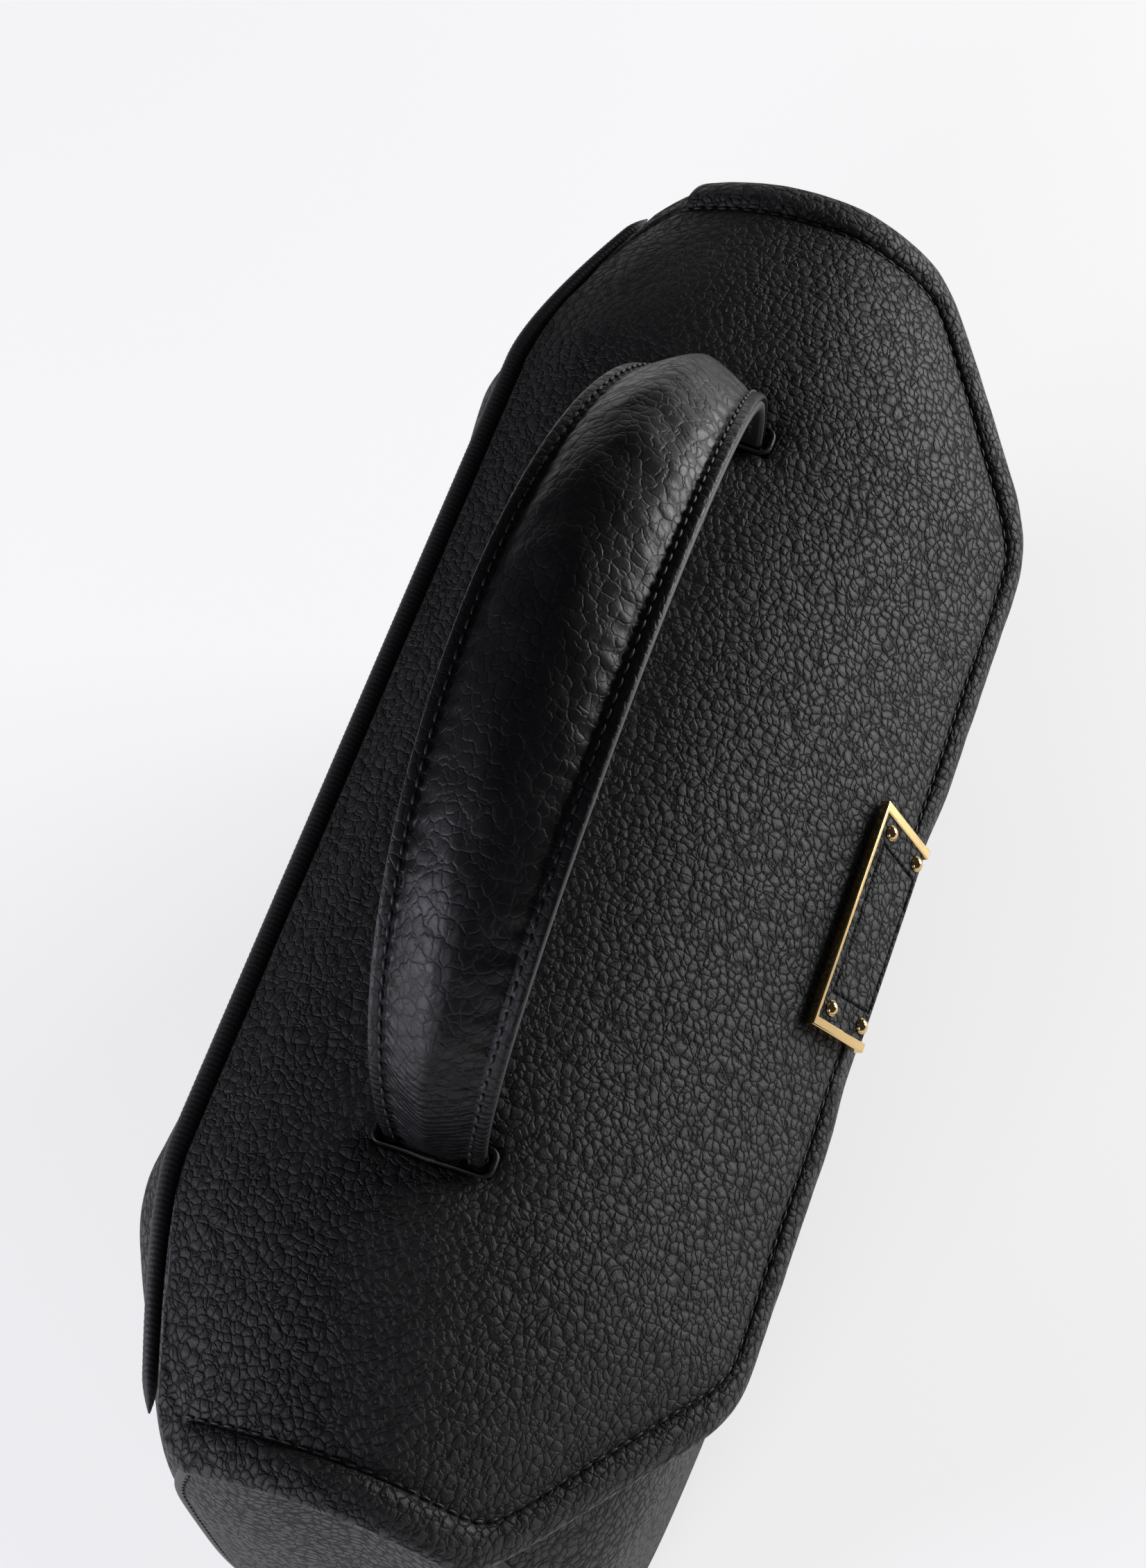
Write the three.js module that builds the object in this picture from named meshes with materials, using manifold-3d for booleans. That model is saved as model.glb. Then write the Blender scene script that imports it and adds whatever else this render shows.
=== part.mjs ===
// Top-handle flap bag in pebbled leather, built up from its separate pieces.
// Millimetres, +Z up, +X along the bag, front towards -Y. The origin is the flat
// underside of the middle foot, so the bag stands on Z = 0.
import * as THREE from 'three';
import * as BufferGeometryUtils from 'three/addons/utils/BufferGeometryUtils.js';
import Module from 'manifold-3d';

const wasm = await Module();
wasm.setup();

// ---- driving dimensions ----------------------------------------------------
const GAP = 0.3;                       // air left between pieces that touch
const CORNER_POWER = 5;                // roundness of the body's plan corners
const STRAIGHT_HALF = 96;              // the top edges run straight this far each way
const PINCH_RATE = 0.0072;             // how fast the top narrows past the straight part
const PINCH_EASE = 22;
const DROOP_START = 92;                // the ends of the top sink past this
const DROOP_DIVISOR = 420;
const SHELL = 2.6;                     // leather and backing of a body wall
const LINING = 1.0;
const LINING_INSET = SHELL + 1.2;
const WALL_BOTTOM = 7;
const LINING_FLOOR = 10.2;
const RIM = 189;                       // top edge of every wall
const SOFT_TOP_START = 120;            // above this the body follows the pinched top
const FOOT_HEIGHT = 3.7;
const FOOT_RADIUS = 6;
const FOOT_SPREAD = [112, 33];
const FLAP_HALF = 155;
const FLAP_SHELL = 2.0;
const FLAP_BOARD = [2.3, 3.5];         // depths below the flap's outer face
const FLAP_LINING = [4.5, 5.5];
const FLAP_FRONT_HALF = 100;           // half length of the flap's lower edge
const FLAP_FLARE = 1.47;               // side edge runs out this much per mm up the flap
const FLAP_BACK_CORNER = 12;
const BORDER_WIDTH = 8;
const BORDER_HEIGHT = 1.5;
const WELT_RADIUS = [2.1, 2.4];
const WELT_CENTRE = [54.3, 193.5];
const HINGE = [53.5, 197.5];           // flap hinge line, in Y and Z
const SWING_AXIS = [4.85, 209.2];      // handle swing line, in Y and Z
const HANDLE_HALF_SPAN = 84;
const HANDLE_RISE = 62;
const HANDLE_LEAN = 4;                 // degrees towards the back
const HANDLE_END_HALF = 10.2;
const HANDLE_MID_HALF = 18.1;
const HANDLE_MARGIN = 3.6;             // flat stitched edge beside the padding
const HANDLE_TAIL = 17;                // strap below the swing line
const STRAP_HALF_THICKNESS = 1.2;
const COVER_THICKNESS = 1.2;
const PUFF = [2.6, 7.6];               // padding height at the ends and in the middle
const SLOT_CENTRE_X = 86.2;
const SLOT_HALF_X = 4.2;
const PLAQUE_TOP_HALF = 26.6;
const PLAQUE_BOTTOM_HALF = 24.2;
const PLAQUE_HALF_HEIGHT = 8.4;
const PLAQUE_THICKNESS = 2.5;
const PLAQUE_TILT = 49.3;              // degrees from level
const PLAQUE_CENTRE = [-59.0, 176.8];  // centre of its outer face, in Y and Z
const FRAME_BAR = 1.9;
const RIVET_RADIUS = 1.5;

// Profiles as [y or half size, z], bottom to top; smooth curves pass through them.
const FRONT_PROFILE = [[48, 7], [52, 25], [55, 60], [56.5, 100], [57, 138], [55.5, 150],
  [51.5, 161], [45, 171.5], [36.5, 181], [26, 189]];
const BACK_PROFILE = [[47, 7], [52.5, 25], [57, 60], [59.3, 100], [60.2, 140], [60.5, 165],
  [59.5, 178], [58, 184.5], [55, 189]];
const END_PROFILE = [[138, 7], [143, 30], [147, 70], [150, 120], [150.5, 160], [148, 191]];
// The flap's section from its back edge over the top to its lower front edge, [y, z].
const FLAP_PROFILE = [[51.7, 196.6], [40, 203], [22, 208.5], [5, 210], [-12, 208], [-30, 199.5],
  [-45, 187.5], [-55, 177], [-60.5, 170], [-62.6, 162]];

// ---- small helpers ---------------------------------------------------------
const range = (count) => Array.from({ length: count }, (_, i) => i);
const mix = (a, b, t) => a + (b - a) * t;
const smooth = (a, b, v) => THREE.MathUtils.smoothstep(v, a, b);
const lens = (v, power) => Math.sign(v) * Math.abs(v) ** power;

function pinch(x) {
  const past = Math.max(0, Math.abs(x) - STRAIGHT_HALF);
  return 1 - (PINCH_RATE * past * past) / (past + PINCH_EASE);
}

function droop(x) {
  return Math.max(0, Math.abs(x) - DROOP_START) ** 2 / DROOP_DIVISOR;
}

function curveThrough(points) {
  const curve = new THREE.CatmullRomCurve3(points.map(([y, z]) => new THREE.Vector3(0, y, z)),
    false, 'centripetal');
  curve.arcLengthDivisions = 400;
  return curve;
}

function sizeAtHeight(curve) {
  const samples = curve.getPoints(300);
  return (z) => {
    const i = Math.max(1, samples.findIndex((s) => s.z >= z));
    const [low, high] = [samples[i - 1], samples[i]];
    return mix(low.y, high.y, THREE.MathUtils.clamp((z - low.z) / (high.z - low.z), 0, 1));
  };
}

const frontAt = sizeAtHeight(curveThrough(FRONT_PROFILE));
const backAt = sizeAtHeight(curveThrough(BACK_PROFILE));
const endAt = sizeAtHeight(curveThrough(END_PROFILE));
const flapCurve = curveThrough(FLAP_PROFILE);
const FLAP_LENGTH = flapCurve.getLength();

// A closed mesh from points and triangles, turned so that its faces point out.
function closedMesh(points, faces) {
  let volume = 0;
  for (const [a, b, c] of faces) {
    volume += points[a].dot(new THREE.Vector3().crossVectors(points[b], points[c]));
  }
  const order = volume < 0 ? faces.map(([a, b, c]) => [a, c, b]) : faces;
  const geometry = new THREE.BufferGeometry();
  geometry.setAttribute('position',
    new THREE.Float32BufferAttribute(points.flatMap((p) => p.toArray()), 3));
  geometry.setIndex(order.flat());
  return geometry;
}

// Loft through equal loops of points. The ends are capped, or joined when ring is true.
function loft(loops, ring = false) {
  const size = loops[0].length;
  const faces = [];
  for (const i of range(ring ? loops.length : loops.length - 1)) {
    const next = (i + 1) % loops.length;
    for (const j of range(size)) {
      const k = (j + 1) % size;
      faces.push([i * size + j, next * size + j, next * size + k]);
      faces.push([i * size + j, next * size + k, i * size + k]);
    }
  }
  if (!ring) {
    const flat = flatten(loops[0]);
    const cap = THREE.ShapeUtils.triangulateShape(flat, []);
    const turn = THREE.ShapeUtils.isClockWise(flat) ? -1 : 1;
    const last = (loops.length - 1) * size;
    for (const [a, b, c] of cap) {
      const [near, far] = turn > 0 ? [[a, b, c], [c, b, a]] : [[c, b, a], [a, b, c]];
      faces.push(near, far.map((v) => v + last));
    }
    return closedMesh(loops.flat(), matchCaps(faces, cap.length));
  }
  return closedMesh(loops.flat(), faces);
}

// The plan of one loop in its own plane, for cutting the cap into triangles.
function flatten(loop) {
  const normal = new THREE.Vector3();
  loop.forEach((p, i) => {
    const q = loop[(i + 1) % loop.length];
    normal.add(new THREE.Vector3().crossVectors(p, q));
  });
  normal.normalize();
  const across = loop[1].clone().sub(loop[0]).projectOnPlane(normal).normalize();
  const along = new THREE.Vector3().crossVectors(normal, across);
  return loop.map((p) => new THREE.Vector2(p.dot(across), p.dot(along)));
}

// Caps are flipped when they run the same way round as the side walls' edges.
function matchCaps(faces, capCount) {
  const sides = faces.slice(0, faces.length - 2 * capCount);
  const caps = faces.slice(faces.length - 2 * capCount);
  const sideEdges = new Set(sides.flatMap(([a, b, c]) => [`${a},${b}`, `${b},${c}`, `${c},${a}`]));
  const clash = caps.some(([a, b, c]) => [[a, b], [b, c], [c, a]]
    .some(([p, q]) => sideEdges.has(`${p},${q}`)));
  return clash ? [...sides, ...caps.map(([a, b, c]) => [a, c, b])] : faces;
}

// A slab between two equal grids of points, such as the two faces of a panel.
function slab(outer, inner) {
  const loops = outer.map((row, i) => [...row, ...[...inner[i]].reverse()]);
  const width = outer[0].length;
  const points = loops.flat();
  const faces = [];
  const size = 2 * width;
  for (const i of range(loops.length - 1)) {
    for (const j of range(size)) {
      const k = (j + 1) % size;
      faces.push([i * size + j, (i + 1) * size + j, (i + 1) * size + k]);
      faces.push([i * size + j, (i + 1) * size + k, i * size + k]);
    }
  }
  for (const [row, flip] of [[0, false], [(loops.length - 1) * size, true]]) {
    for (const j of range(width - 1)) {
      const [a, b, c, d] = [row + j, row + j + 1, row + size - 2 - j, row + size - 1 - j];
      faces.push(...(flip ? [[a, d, c], [a, c, b]] : [[a, b, c], [a, c, d]]));
    }
  }
  return closedMesh(points, faces);
}

function toSolid(geometry) {
  let bare = geometry.clone();
  bare.deleteAttribute('normal');
  bare.deleteAttribute('uv');
  bare = BufferGeometryUtils.mergeVertices(bare, 1e-4);
  return new wasm.Manifold(new wasm.Mesh({
    numProp: 3,
    vertProperties: new Float32Array(bare.attributes.position.array),
    triVerts: new Uint32Array(bare.index.array),
  }));
}

function cut(geometry, ...tools) {
  let solid = toSolid(geometry);
  for (const tool of tools) solid = solid.subtract(toSolid(tool));
  const mesh = solid.getMesh();
  const result = new THREE.BufferGeometry();
  result.setAttribute('position', new THREE.BufferAttribute(mesh.vertProperties, 3));
  result.setIndex(new THREE.BufferAttribute(mesh.triVerts, 1));
  return result;
}

// ---- finishes --------------------------------------------------------------
const finish = (color, roughness, metalness = 0) => new THREE.MeshStandardMaterial({
  color, roughness, metalness });
const grainLeather = finish(0x2b2b2c, 0.55);
const smoothLeather = finish(0x19191a, 0.5);
const liningCloth = finish(0x3a3431, 0.9);
const boardStock = finish(0x8d8474, 0.9);
const brass = finish(0xd9c08c, 0.22, 1);
const steel = finish(0x9a9a9c, 0.35, 1);

// ---- body walls ------------------------------------------------------------
// Point on the body's outer skin, or inset from it, at plan angle and height.
function bodyPoint(angle, z, inset = 0) {
  const [c, s] = [Math.cos(angle), Math.sin(angle)];
  const x = lens(c, 2 / CORNER_POWER) * (endAt(z) - inset);
  const soft = smooth(SOFT_TOP_START, RIM, z);
  const depth = s < 0 ? frontAt(Math.min(z, RIM)) : backAt(z);
  const y = lens(s, 2 / CORNER_POWER) * (depth - inset) * mix(1, pinch(x), soft);
  return new THREE.Vector3(x, y, z - droop(x) * soft);
}

const WALL_ROWS = 10;
const wallLevels = range(WALL_ROWS + 1).map((i) => mix(WALL_BOTTOM, RIM, (i / WALL_ROWS) ** 0.85));

function wall(startAngle, endAngle, columns) {
  const grid = (inset) => wallLevels.map((z) => range(columns + 1).map((j) => bodyPoint(
    mix(startAngle, endAngle, j / columns), z, inset)));
  return slab(grid(0), grid(SHELL));
}

const SEAM_ANGLE = 0.42;               // plan angle where a gusset meets front or back
const SEAM_SPLIT = 0.004;
const frontPanel = () => wall(Math.PI + SEAM_ANGLE, 2 * Math.PI - SEAM_ANGLE, 20);
const backPanel = () => wall(SEAM_ANGLE, Math.PI - SEAM_ANGLE, 20);
const gusset = (middle) => wall(middle - SEAM_ANGLE + SEAM_SPLIT,
  middle + SEAM_ANGLE - SEAM_SPLIT, 8);

function planShape(inset) {
  const outline = range(72).map((i) => {
    const p = bodyPoint((i / 72) * 2 * Math.PI, WALL_BOTTOM, inset);
    return new THREE.Vector2(p.x, p.y);
  });
  return new THREE.Shape(outline);
}

function plate(shape, bottom, thickness) {
  const geometry = new THREE.ExtrudeGeometry(shape, { depth: thickness, bevelEnabled: false });
  return geometry.translate(0, 0, bottom);
}

// An open-topped lining bag: outer skin, floor and inner skin as one closed body.
function liningBag() {
  const sides = 40;
  const loop = (z, inset) => range(sides).map((j) => bodyPoint((j / sides) * 2 * Math.PI, z, inset));
  const levels = [LINING_FLOOR, ...wallLevels.slice(1)];
  const outer = levels.map((z) => loop(z, LINING_INSET));
  const inner = [...levels].reverse().map((z) => loop(Math.max(z, LINING_FLOOR + LINING),
    LINING_INSET + LINING));
  return loft([...outer, ...inner]);
}

// Binding folded over the mouth's front and side edges.
function mouthBinding() {
  const [from, to] = [Math.PI - SEAM_ANGLE, 2 * Math.PI + SEAM_ANGLE];
  const section = [[-0.7, 0], [SHELL + 0.7, 0], [SHELL + 0.7, 1.4], [SHELL / 2, 2.0], [-0.7, 1.4]];
  return loft(range(41).map((i) => section.map(([inset, up]) => {
    const p = bodyPoint(mix(from, to, i / 40), RIM, inset);
    return p.setZ(p.z + 2 * GAP + up);
  })));
}

function welt() {
  const reach = 143;
  return loft(range(33).map((i) => {
    const x = mix(-reach, reach, i / 32);
    return range(8).map((j) => {
      const turn = (j / 8) * 2 * Math.PI;
      const y = (WELT_CENTRE[0] + WELT_RADIUS[0] * Math.cos(turn)) * pinch(x);
      return new THREE.Vector3(x, y, WELT_CENTRE[1] + WELT_RADIUS[1] * Math.sin(turn) - droop(x));
    });
  }));
}

function foot() {
  const profile = [[0, 0], [0.68, 0], [0.9, 0.16], [1, 0.45], [1, 1], [0, 1]];
  return new THREE.LatheGeometry(profile.map(([r, h]) => new THREE.Vector2(r * FOOT_RADIUS,
    h * FOOT_HEIGHT)), 16).rotateX(Math.PI / 2);
}

// ---- flap ------------------------------------------------------------------
// Half length of the flap at an arc distance from its back edge.
function flapHalf(arc) {
  const fromFront = FLAP_LENGTH - arc;
  const flare = FLAP_FRONT_HALF + FLAP_FLARE * fromFront;
  const soft = FLAP_HALF - 6 * Math.log1p(Math.exp((FLAP_HALF - flare) / 6));
  const back = Math.max(0, FLAP_BACK_CORNER - arc);
  const front = Math.max(0, 5 - fromFront);
  const backCut = FLAP_BACK_CORNER - Math.sqrt(FLAP_BACK_CORNER ** 2 - back ** 2);
  const frontCut = 1.6 * (5 - Math.sqrt(25 - front ** 2));
  return soft - backCut - frontCut;
}

// Point on the flap's outer face at x and arc distance, moved out along its normal.
function flapPoint(x, arc, out = 0) {
  const at = (px, pa) => {
    const s = flapCurve.getPointAt(THREE.MathUtils.clamp(pa / FLAP_LENGTH, 0, 1));
    return new THREE.Vector3(px, s.y * pinch(px), s.z - droop(px));
  };
  const step = 0.5;
  const alongX = at(x + step, arc).sub(at(x - step, arc));
  const alongArc = at(x, arc + step).sub(at(x, arc - step));
  const normal = new THREE.Vector3().crossVectors(alongArc, alongX).normalize();
  return at(x, arc).addScaledVector(normal, out);
}

function flapSheet(depths, startArc, endArc, halfAt, columns, rows) {
  const grid = (depth) => range(rows + 1).map((i) => {
    const arc = mix(startArc, endArc, i / rows);
    return range(columns + 1).map((j) => {
      const v = mix(-1, 1, j / columns);
      return flapPoint(v * halfAt(arc), arc, -depth);
    });
  });
  return slab(grid(depths[0]), grid(depths[1]));
}

function slotTool(side, halfLength) {
  const box = new THREE.BoxGeometry(2 * SLOT_HALF_X, 2 * halfLength, 30);
  return box.translate(side * SLOT_CENTRE_X, SWING_AXIS[0], SWING_AXIS[1]);
}
const slots = (halfLength) => [slotTool(-1, halfLength), slotTool(1, halfLength)];

const flapShell = () => cut(flapSheet([0, FLAP_SHELL], 0.4, FLAP_LENGTH, flapHalf, 30, 20),
  ...slots(12.0));
const flapBoard = () => cut(flapSheet(FLAP_BOARD, 14, 92, () => 126, 16, 8), ...slots(12.5));
const flapLining = () => cut(flapSheet(FLAP_LINING, 3, FLAP_LENGTH - 5,
  (arc) => flapHalf(arc) - 5, 22, 10), ...slots(12.8));

// Raised border folded round the flap's side and front edges.
function flapBorder() {
  const edge = [];
  const startArc = 11;
  for (const i of range(25)) {
    const arc = mix(startArc, FLAP_LENGTH, (i / 24) ** 0.8);
    edge.push(new THREE.Vector2(flapHalf(arc), arc));
  }
  const bottom = range(9).map((i) => new THREE.Vector2(mix(flapHalf(FLAP_LENGTH) - 8, 0, i / 8),
    FLAP_LENGTH));
  const half = [...edge, ...bottom];
  const path = [...half, ...half.slice(0, -1).reverse().map((p) => new THREE.Vector2(-p.x, p.y))];
  const under = 2.2 * GAP;
  const lift = [[0.3, under], [0.3, BORDER_HEIGHT * 0.7], [BORDER_WIDTH * 0.3, BORDER_HEIGHT],
    [BORDER_WIDTH * 0.75, BORDER_HEIGHT * 0.9], [BORDER_WIDTH, under + 0.3], [BORDER_WIDTH, under],
    [BORDER_WIDTH * 0.66, under], [BORDER_WIDTH * 0.33, under]];
  return loft(path.map((p, i) => {
    const before = path[Math.max(0, i - 1)];
    const after = path[Math.min(path.length - 1, i + 1)];
    const along = after.clone().sub(before).normalize();
    const inward = new THREE.Vector2(-Math.abs(along.y) * Math.sign(p.x), -Math.abs(along.x));
    return lift.map(([across, out]) => flapPoint(p.x + inward.x * across,
      p.y + inward.y * across, out));
  }));
}

function slotRim() {
  const ring = new THREE.Shape(roundedBox(SLOT_HALF_X + 1.7, 13.6, 2.6));
  ring.holes.push(new THREE.Path(roundedBox(SLOT_HALF_X - 0.1, 12.1, 1.2)));
  return plate(ring, 0, 1.6);
}

function roundedBox(halfX, halfY, radius) {
  return [[1, 1, 0], [-1, 1, 1], [-1, -1, 2], [1, -1, 3]].flatMap(([sx, sy, quarter]) => (
    range(5).map((i) => {
      const turn = (quarter + i / 4) * (Math.PI / 2);
      return new THREE.Vector2(sx * (halfX - radius) + radius * Math.cos(turn),
        sy * (halfY - radius) + radius * Math.sin(turn));
    })));
}

const ANCHOR_TOP = 201.2;
const ANCHOR_THICKNESS = 1.2;
const ANCHOR_RIVET_Y = 16;
function anchorPlate() {
  const shape = new THREE.Shape(roundedBox(8, 19, 2.5));
  shape.holes.push(new THREE.Path(roundedBox(SLOT_HALF_X, 13.2, 1)));
  for (const side of [-1, 1]) {
    const hole = new THREE.Path();
    hole.absarc(0, side * ANCHOR_RIVET_Y, 1.1, 0, 2 * Math.PI);
    shape.holes.push(hole);
  }
  return new THREE.ExtrudeGeometry(shape, { depth: ANCHOR_THICKNESS, bevelEnabled: false,
    curveSegments: 5 });
}

// A domed rivet: head below z = 0, shank above it.
function rivet(headRadius, headHeight, shankRadius, shankLength) {
  const dome = range(4).map((i) => {
    const turn = (i / 3) * (Math.PI / 2);
    return new THREE.Vector2(headRadius * Math.sin(turn), -headHeight * Math.cos(turn));
  });
  const shank = [new THREE.Vector2(shankRadius, 0), new THREE.Vector2(shankRadius, shankLength),
    new THREE.Vector2(0, shankLength)];
  return new THREE.LatheGeometry([...dome, ...shank], 10).rotateX(Math.PI / 2);
}

// ---- plaque: its own frame has X along the bag, Y up the plate, Z out of its face ----
function plaqueHalfAt(up) {
  return mix(PLAQUE_BOTTOM_HALF, PLAQUE_TOP_HALF, (up / PLAQUE_HALF_HEIGHT + 1) / 2);
}

function plaqueOutline(inset, low = -PLAQUE_HALF_HEIGHT) {
  const top = PLAQUE_HALF_HEIGHT - inset;
  return [[-plaqueHalfAt(low) + inset, low], [plaqueHalfAt(low) - inset, low],
    [plaqueHalfAt(top) - inset, top], [-plaqueHalfAt(top) + inset, top]]
    .map(([x, y]) => new THREE.Vector2(x, y));
}

// Frame bar along the top and both ends; the inlay closes the lower side.
function plaqueFrame() {
  const [a, b, c, d] = plaqueOutline(0);
  const [e, f, g, h] = plaqueOutline(FRAME_BAR);
  return plate(new THREE.Shape([b, c, d, a, e, h, g, f]), -PLAQUE_THICKNESS, PLAQUE_THICKNESS);
}

const rivetPlaces = [[1, 1], [-1, 1], [1, -1], [-1, -1]].map(([sx, sy]) => {
  const up = sy * 5.0 - 0.6;
  return new THREE.Vector2(sx * (plaqueHalfAt(up) - 5.2), up);
});

function pierced(inset, bottom, thickness) {
  const shape = new THREE.Shape(plaqueOutline(inset));
  for (const { x, y } of rivetPlaces) {
    const hole = new THREE.Path();
    hole.absarc(x, y, 0.9, 0, 2 * Math.PI);
    shape.holes.push(hole);
  }
  return new THREE.ExtrudeGeometry(shape, { depth: thickness, bevelEnabled: false,
    curveSegments: 5 }).translate(0, 0, bottom);
}

// ---- handle: swept along half an ellipse that stands on the swing line ----
// Station of the arch at angle 0..pi, or down the straight tails below it.
function handleStation(turn, below = 0) {
  const point = new THREE.Vector3(HANDLE_HALF_SPAN * Math.cos(turn), 0,
    HANDLE_RISE * Math.sin(turn) - below);
  const outward = new THREE.Vector3(Math.cos(turn) / HANDLE_HALF_SPAN, 0,
    Math.sin(turn) / HANDLE_RISE).normalize();
  const middle = Math.sin(turn);
  return { point, outward, half: mix(HANDLE_END_HALF, HANDLE_MID_HALF, middle ** 1.09),
    puff: mix(PUFF[0], PUFF[1], middle ** 0.8) };
}

function archStations(tail) {
  const arch = range(25).map((i) => handleStation((i / 24) * Math.PI));
  return [handleStation(0, tail), ...arch, handleStation(Math.PI, tail)];
}

function sweepHandle(stations, section) {
  return loft(stations.map((s) => section(s).map(([across, out]) => (
    s.point.clone().addScaledVector(s.outward, out).add(new THREE.Vector3(0, across, 0))))));
}

const strapSection = ({ half }) => [[-half, -STRAP_HALF_THICKNESS], [half, -STRAP_HALF_THICKNESS],
  [half, STRAP_HALF_THICKNESS], [-half, STRAP_HALF_THICKNESS]];

function domeLine(half, base, height, steps) {
  return range(steps + 1).map((i) => {
    const v = mix(-1, 1, i / steps);
    return [v * half, base + height * (1 - v * v) ** 0.7];
  });
}

function coverSection({ half, puff }) {
  const low = STRAP_HALF_THICKNESS + GAP;
  const padHalf = half - HANDLE_MARGIN;
  const outer = domeLine(padHalf, low + COVER_THICKNESS, puff, 8);
  const inner = domeLine(padHalf - COVER_THICKNESS, low, puff, 8).reverse();
  return [[-half, low], [-half, low + COVER_THICKNESS], ...outer,
    [half, low + COVER_THICKNESS], [half, low], ...inner];
}

function coreSection({ half, puff }) {
  const low = STRAP_HALF_THICKNESS + GAP;
  const line = domeLine(half - HANDLE_MARGIN - COVER_THICKNESS - 0.6, low, puff - 0.5, 8);
  return line.reverse();
}

// ---- assembly --------------------------------------------------------------
const bag = new THREE.Group();

function add(name, geometry, material, parent = bag) {
  const mesh = new THREE.Mesh(geometry, material);
  mesh.name = name;
  parent.add(mesh);
  return mesh;
}

function groupAt(x, y, z, turnX = 0) {
  const group = new THREE.Group();
  group.position.set(x, y, z);
  group.rotation.x = THREE.MathUtils.degToRad(turnX);
  bag.add(group);
  return group;
}

// Body
add('front_panel', frontPanel(), grainLeather);
add('back_panel', backPanel(), grainLeather);
add('gusset_right', gusset(0), grainLeather);
add('gusset_left', gusset(Math.PI), grainLeather);
add('base_panel', plate(planShape(0.5), FOOT_HEIGHT + GAP, 2.6), grainLeather);
add('base_board', plate(planShape(6), WALL_BOTTOM, 2.6), boardStock);
add('lining_bag', liningBag(), liningCloth);
add('mouth_binding', mouthBinding(), smoothLeather);
add('back_welt', welt(), smoothLeather);
const footSpots = { front_left: [-1, -1], front_right: [1, -1], back_left: [-1, 1],
  back_right: [1, 1], middle: [0, 0] };
for (const [place, [sx, sy]] of Object.entries(footSpots)) {
  const mesh = add(`foot_${place}`, foot(), brass);
  mesh.position.set(sx * FOOT_SPREAD[0], sy * FOOT_SPREAD[1], 0);
}

// Flap
add('flap_shell', flapShell(), grainLeather);
add('flap_board', flapBoard(), boardStock);
add('flap_lining', flapLining(), liningCloth);

const plaque = groupAt(0, PLAQUE_CENTRE[0], PLAQUE_CENTRE[1], PLAQUE_TILT);
const clearance = plate(new THREE.Shape(plaqueOutline(-0.6, -PLAQUE_HALF_HEIGHT - 0.6)),
  -PLAQUE_THICKNESS - 0.4, 6);
plaque.updateMatrixWorld(true);
add('flap_border', cut(flapBorder(), clearance.applyMatrix4(plaque.matrixWorld)), grainLeather);
add('plaque_frame', plaqueFrame(), brass, plaque);
add('plaque_backplate', pierced(FRAME_BAR + GAP, -PLAQUE_THICKNESS, 0.6), brass, plaque);
add('plaque_inlay', pierced(FRAME_BAR + GAP, -PLAQUE_THICKNESS + 0.9, 1.2), grainLeather, plaque);
rivetPlaces.forEach(({ x, y }, i) => {
  const mesh = add(`plaque_rivet_${i + 1}`, rivet(RIVET_RADIUS, 1.1, 0.6, 1.8), brass, plaque);
  mesh.position.set(x, y, -PLAQUE_THICKNESS + 0.9 + 1.2 + GAP);
  mesh.rotation.x = Math.PI;
});

// Magnetic closure behind the plaque
const MAGNET_TILT = 46.5;
const flapMagnetSpot = groupAt(0, -45.8, 178.6, MAGNET_TILT);
const disc = (radius, height) => new THREE.CylinderGeometry(radius, radius, height, 24)
  .rotateX(Math.PI / 2);
add('flap_magnet', disc(7, 2.2).translate(0, 0, -1.1), steel, flapMagnetSpot);
add('body_magnet', disc(7, 2.0).translate(0, 0, -3.8), steel, flapMagnetSpot);

// Handle fixings under the flap
for (const [side, sign] of [['right', 1], ['left', -1]]) {
  const rim = add(`slot_rim_${side}`, slotRim(), smoothLeather);
  rim.position.set(sign * SLOT_CENTRE_X, SWING_AXIS[0], 210.25);
  const platePiece = add(`anchor_plate_${side}`, anchorPlate(), steel);
  platePiece.position.set(sign * SLOT_CENTRE_X, SWING_AXIS[0], ANCHOR_TOP - ANCHOR_THICKNESS);
  for (const [end, along] of [['front', -1], ['back', 1]]) {
    const piece = add(`anchor_rivet_${side}_${end}`, rivet(2.4, 1.3, 0.8, 1.3), brass);
    piece.position.set(sign * SLOT_CENTRE_X, SWING_AXIS[0] + along * ANCHOR_RIVET_Y,
      ANCHOR_TOP - ANCHOR_THICKNESS - GAP);
  }
}

// Handle
const handle = groupAt(0, SWING_AXIS[0], SWING_AXIS[1], -HANDLE_LEAN);
add('handle_strap', sweepHandle(archStations(HANDLE_TAIL), strapSection), smoothLeather, handle);
add('handle_cover', sweepHandle(archStations(3), coverSection), grainLeather, handle);
add('handle_core', sweepHandle(archStations(2), coreSection), boardStock, handle);
for (const [side, sign] of [['right', 1], ['left', -1]]) {
  const pin = add(`handle_pin_${side}`, new THREE.CylinderGeometry(1.4, 1.4, 23, 12), brass, handle);
  pin.position.set(sign * (HANDLE_HALF_SPAN + 3), 0, -HANDLE_TAIL + 1.5);
}

export default bag;
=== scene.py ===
# Top-handle flap bag in pebbled leather: its looks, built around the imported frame.
# Lengths below are millimetres unless a name ends in _M; meshes are scaled to metres as
# they are made. +Z up, +X along the bag, front towards -Y, standing on Z = 0.
import contextlib
import math

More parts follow.
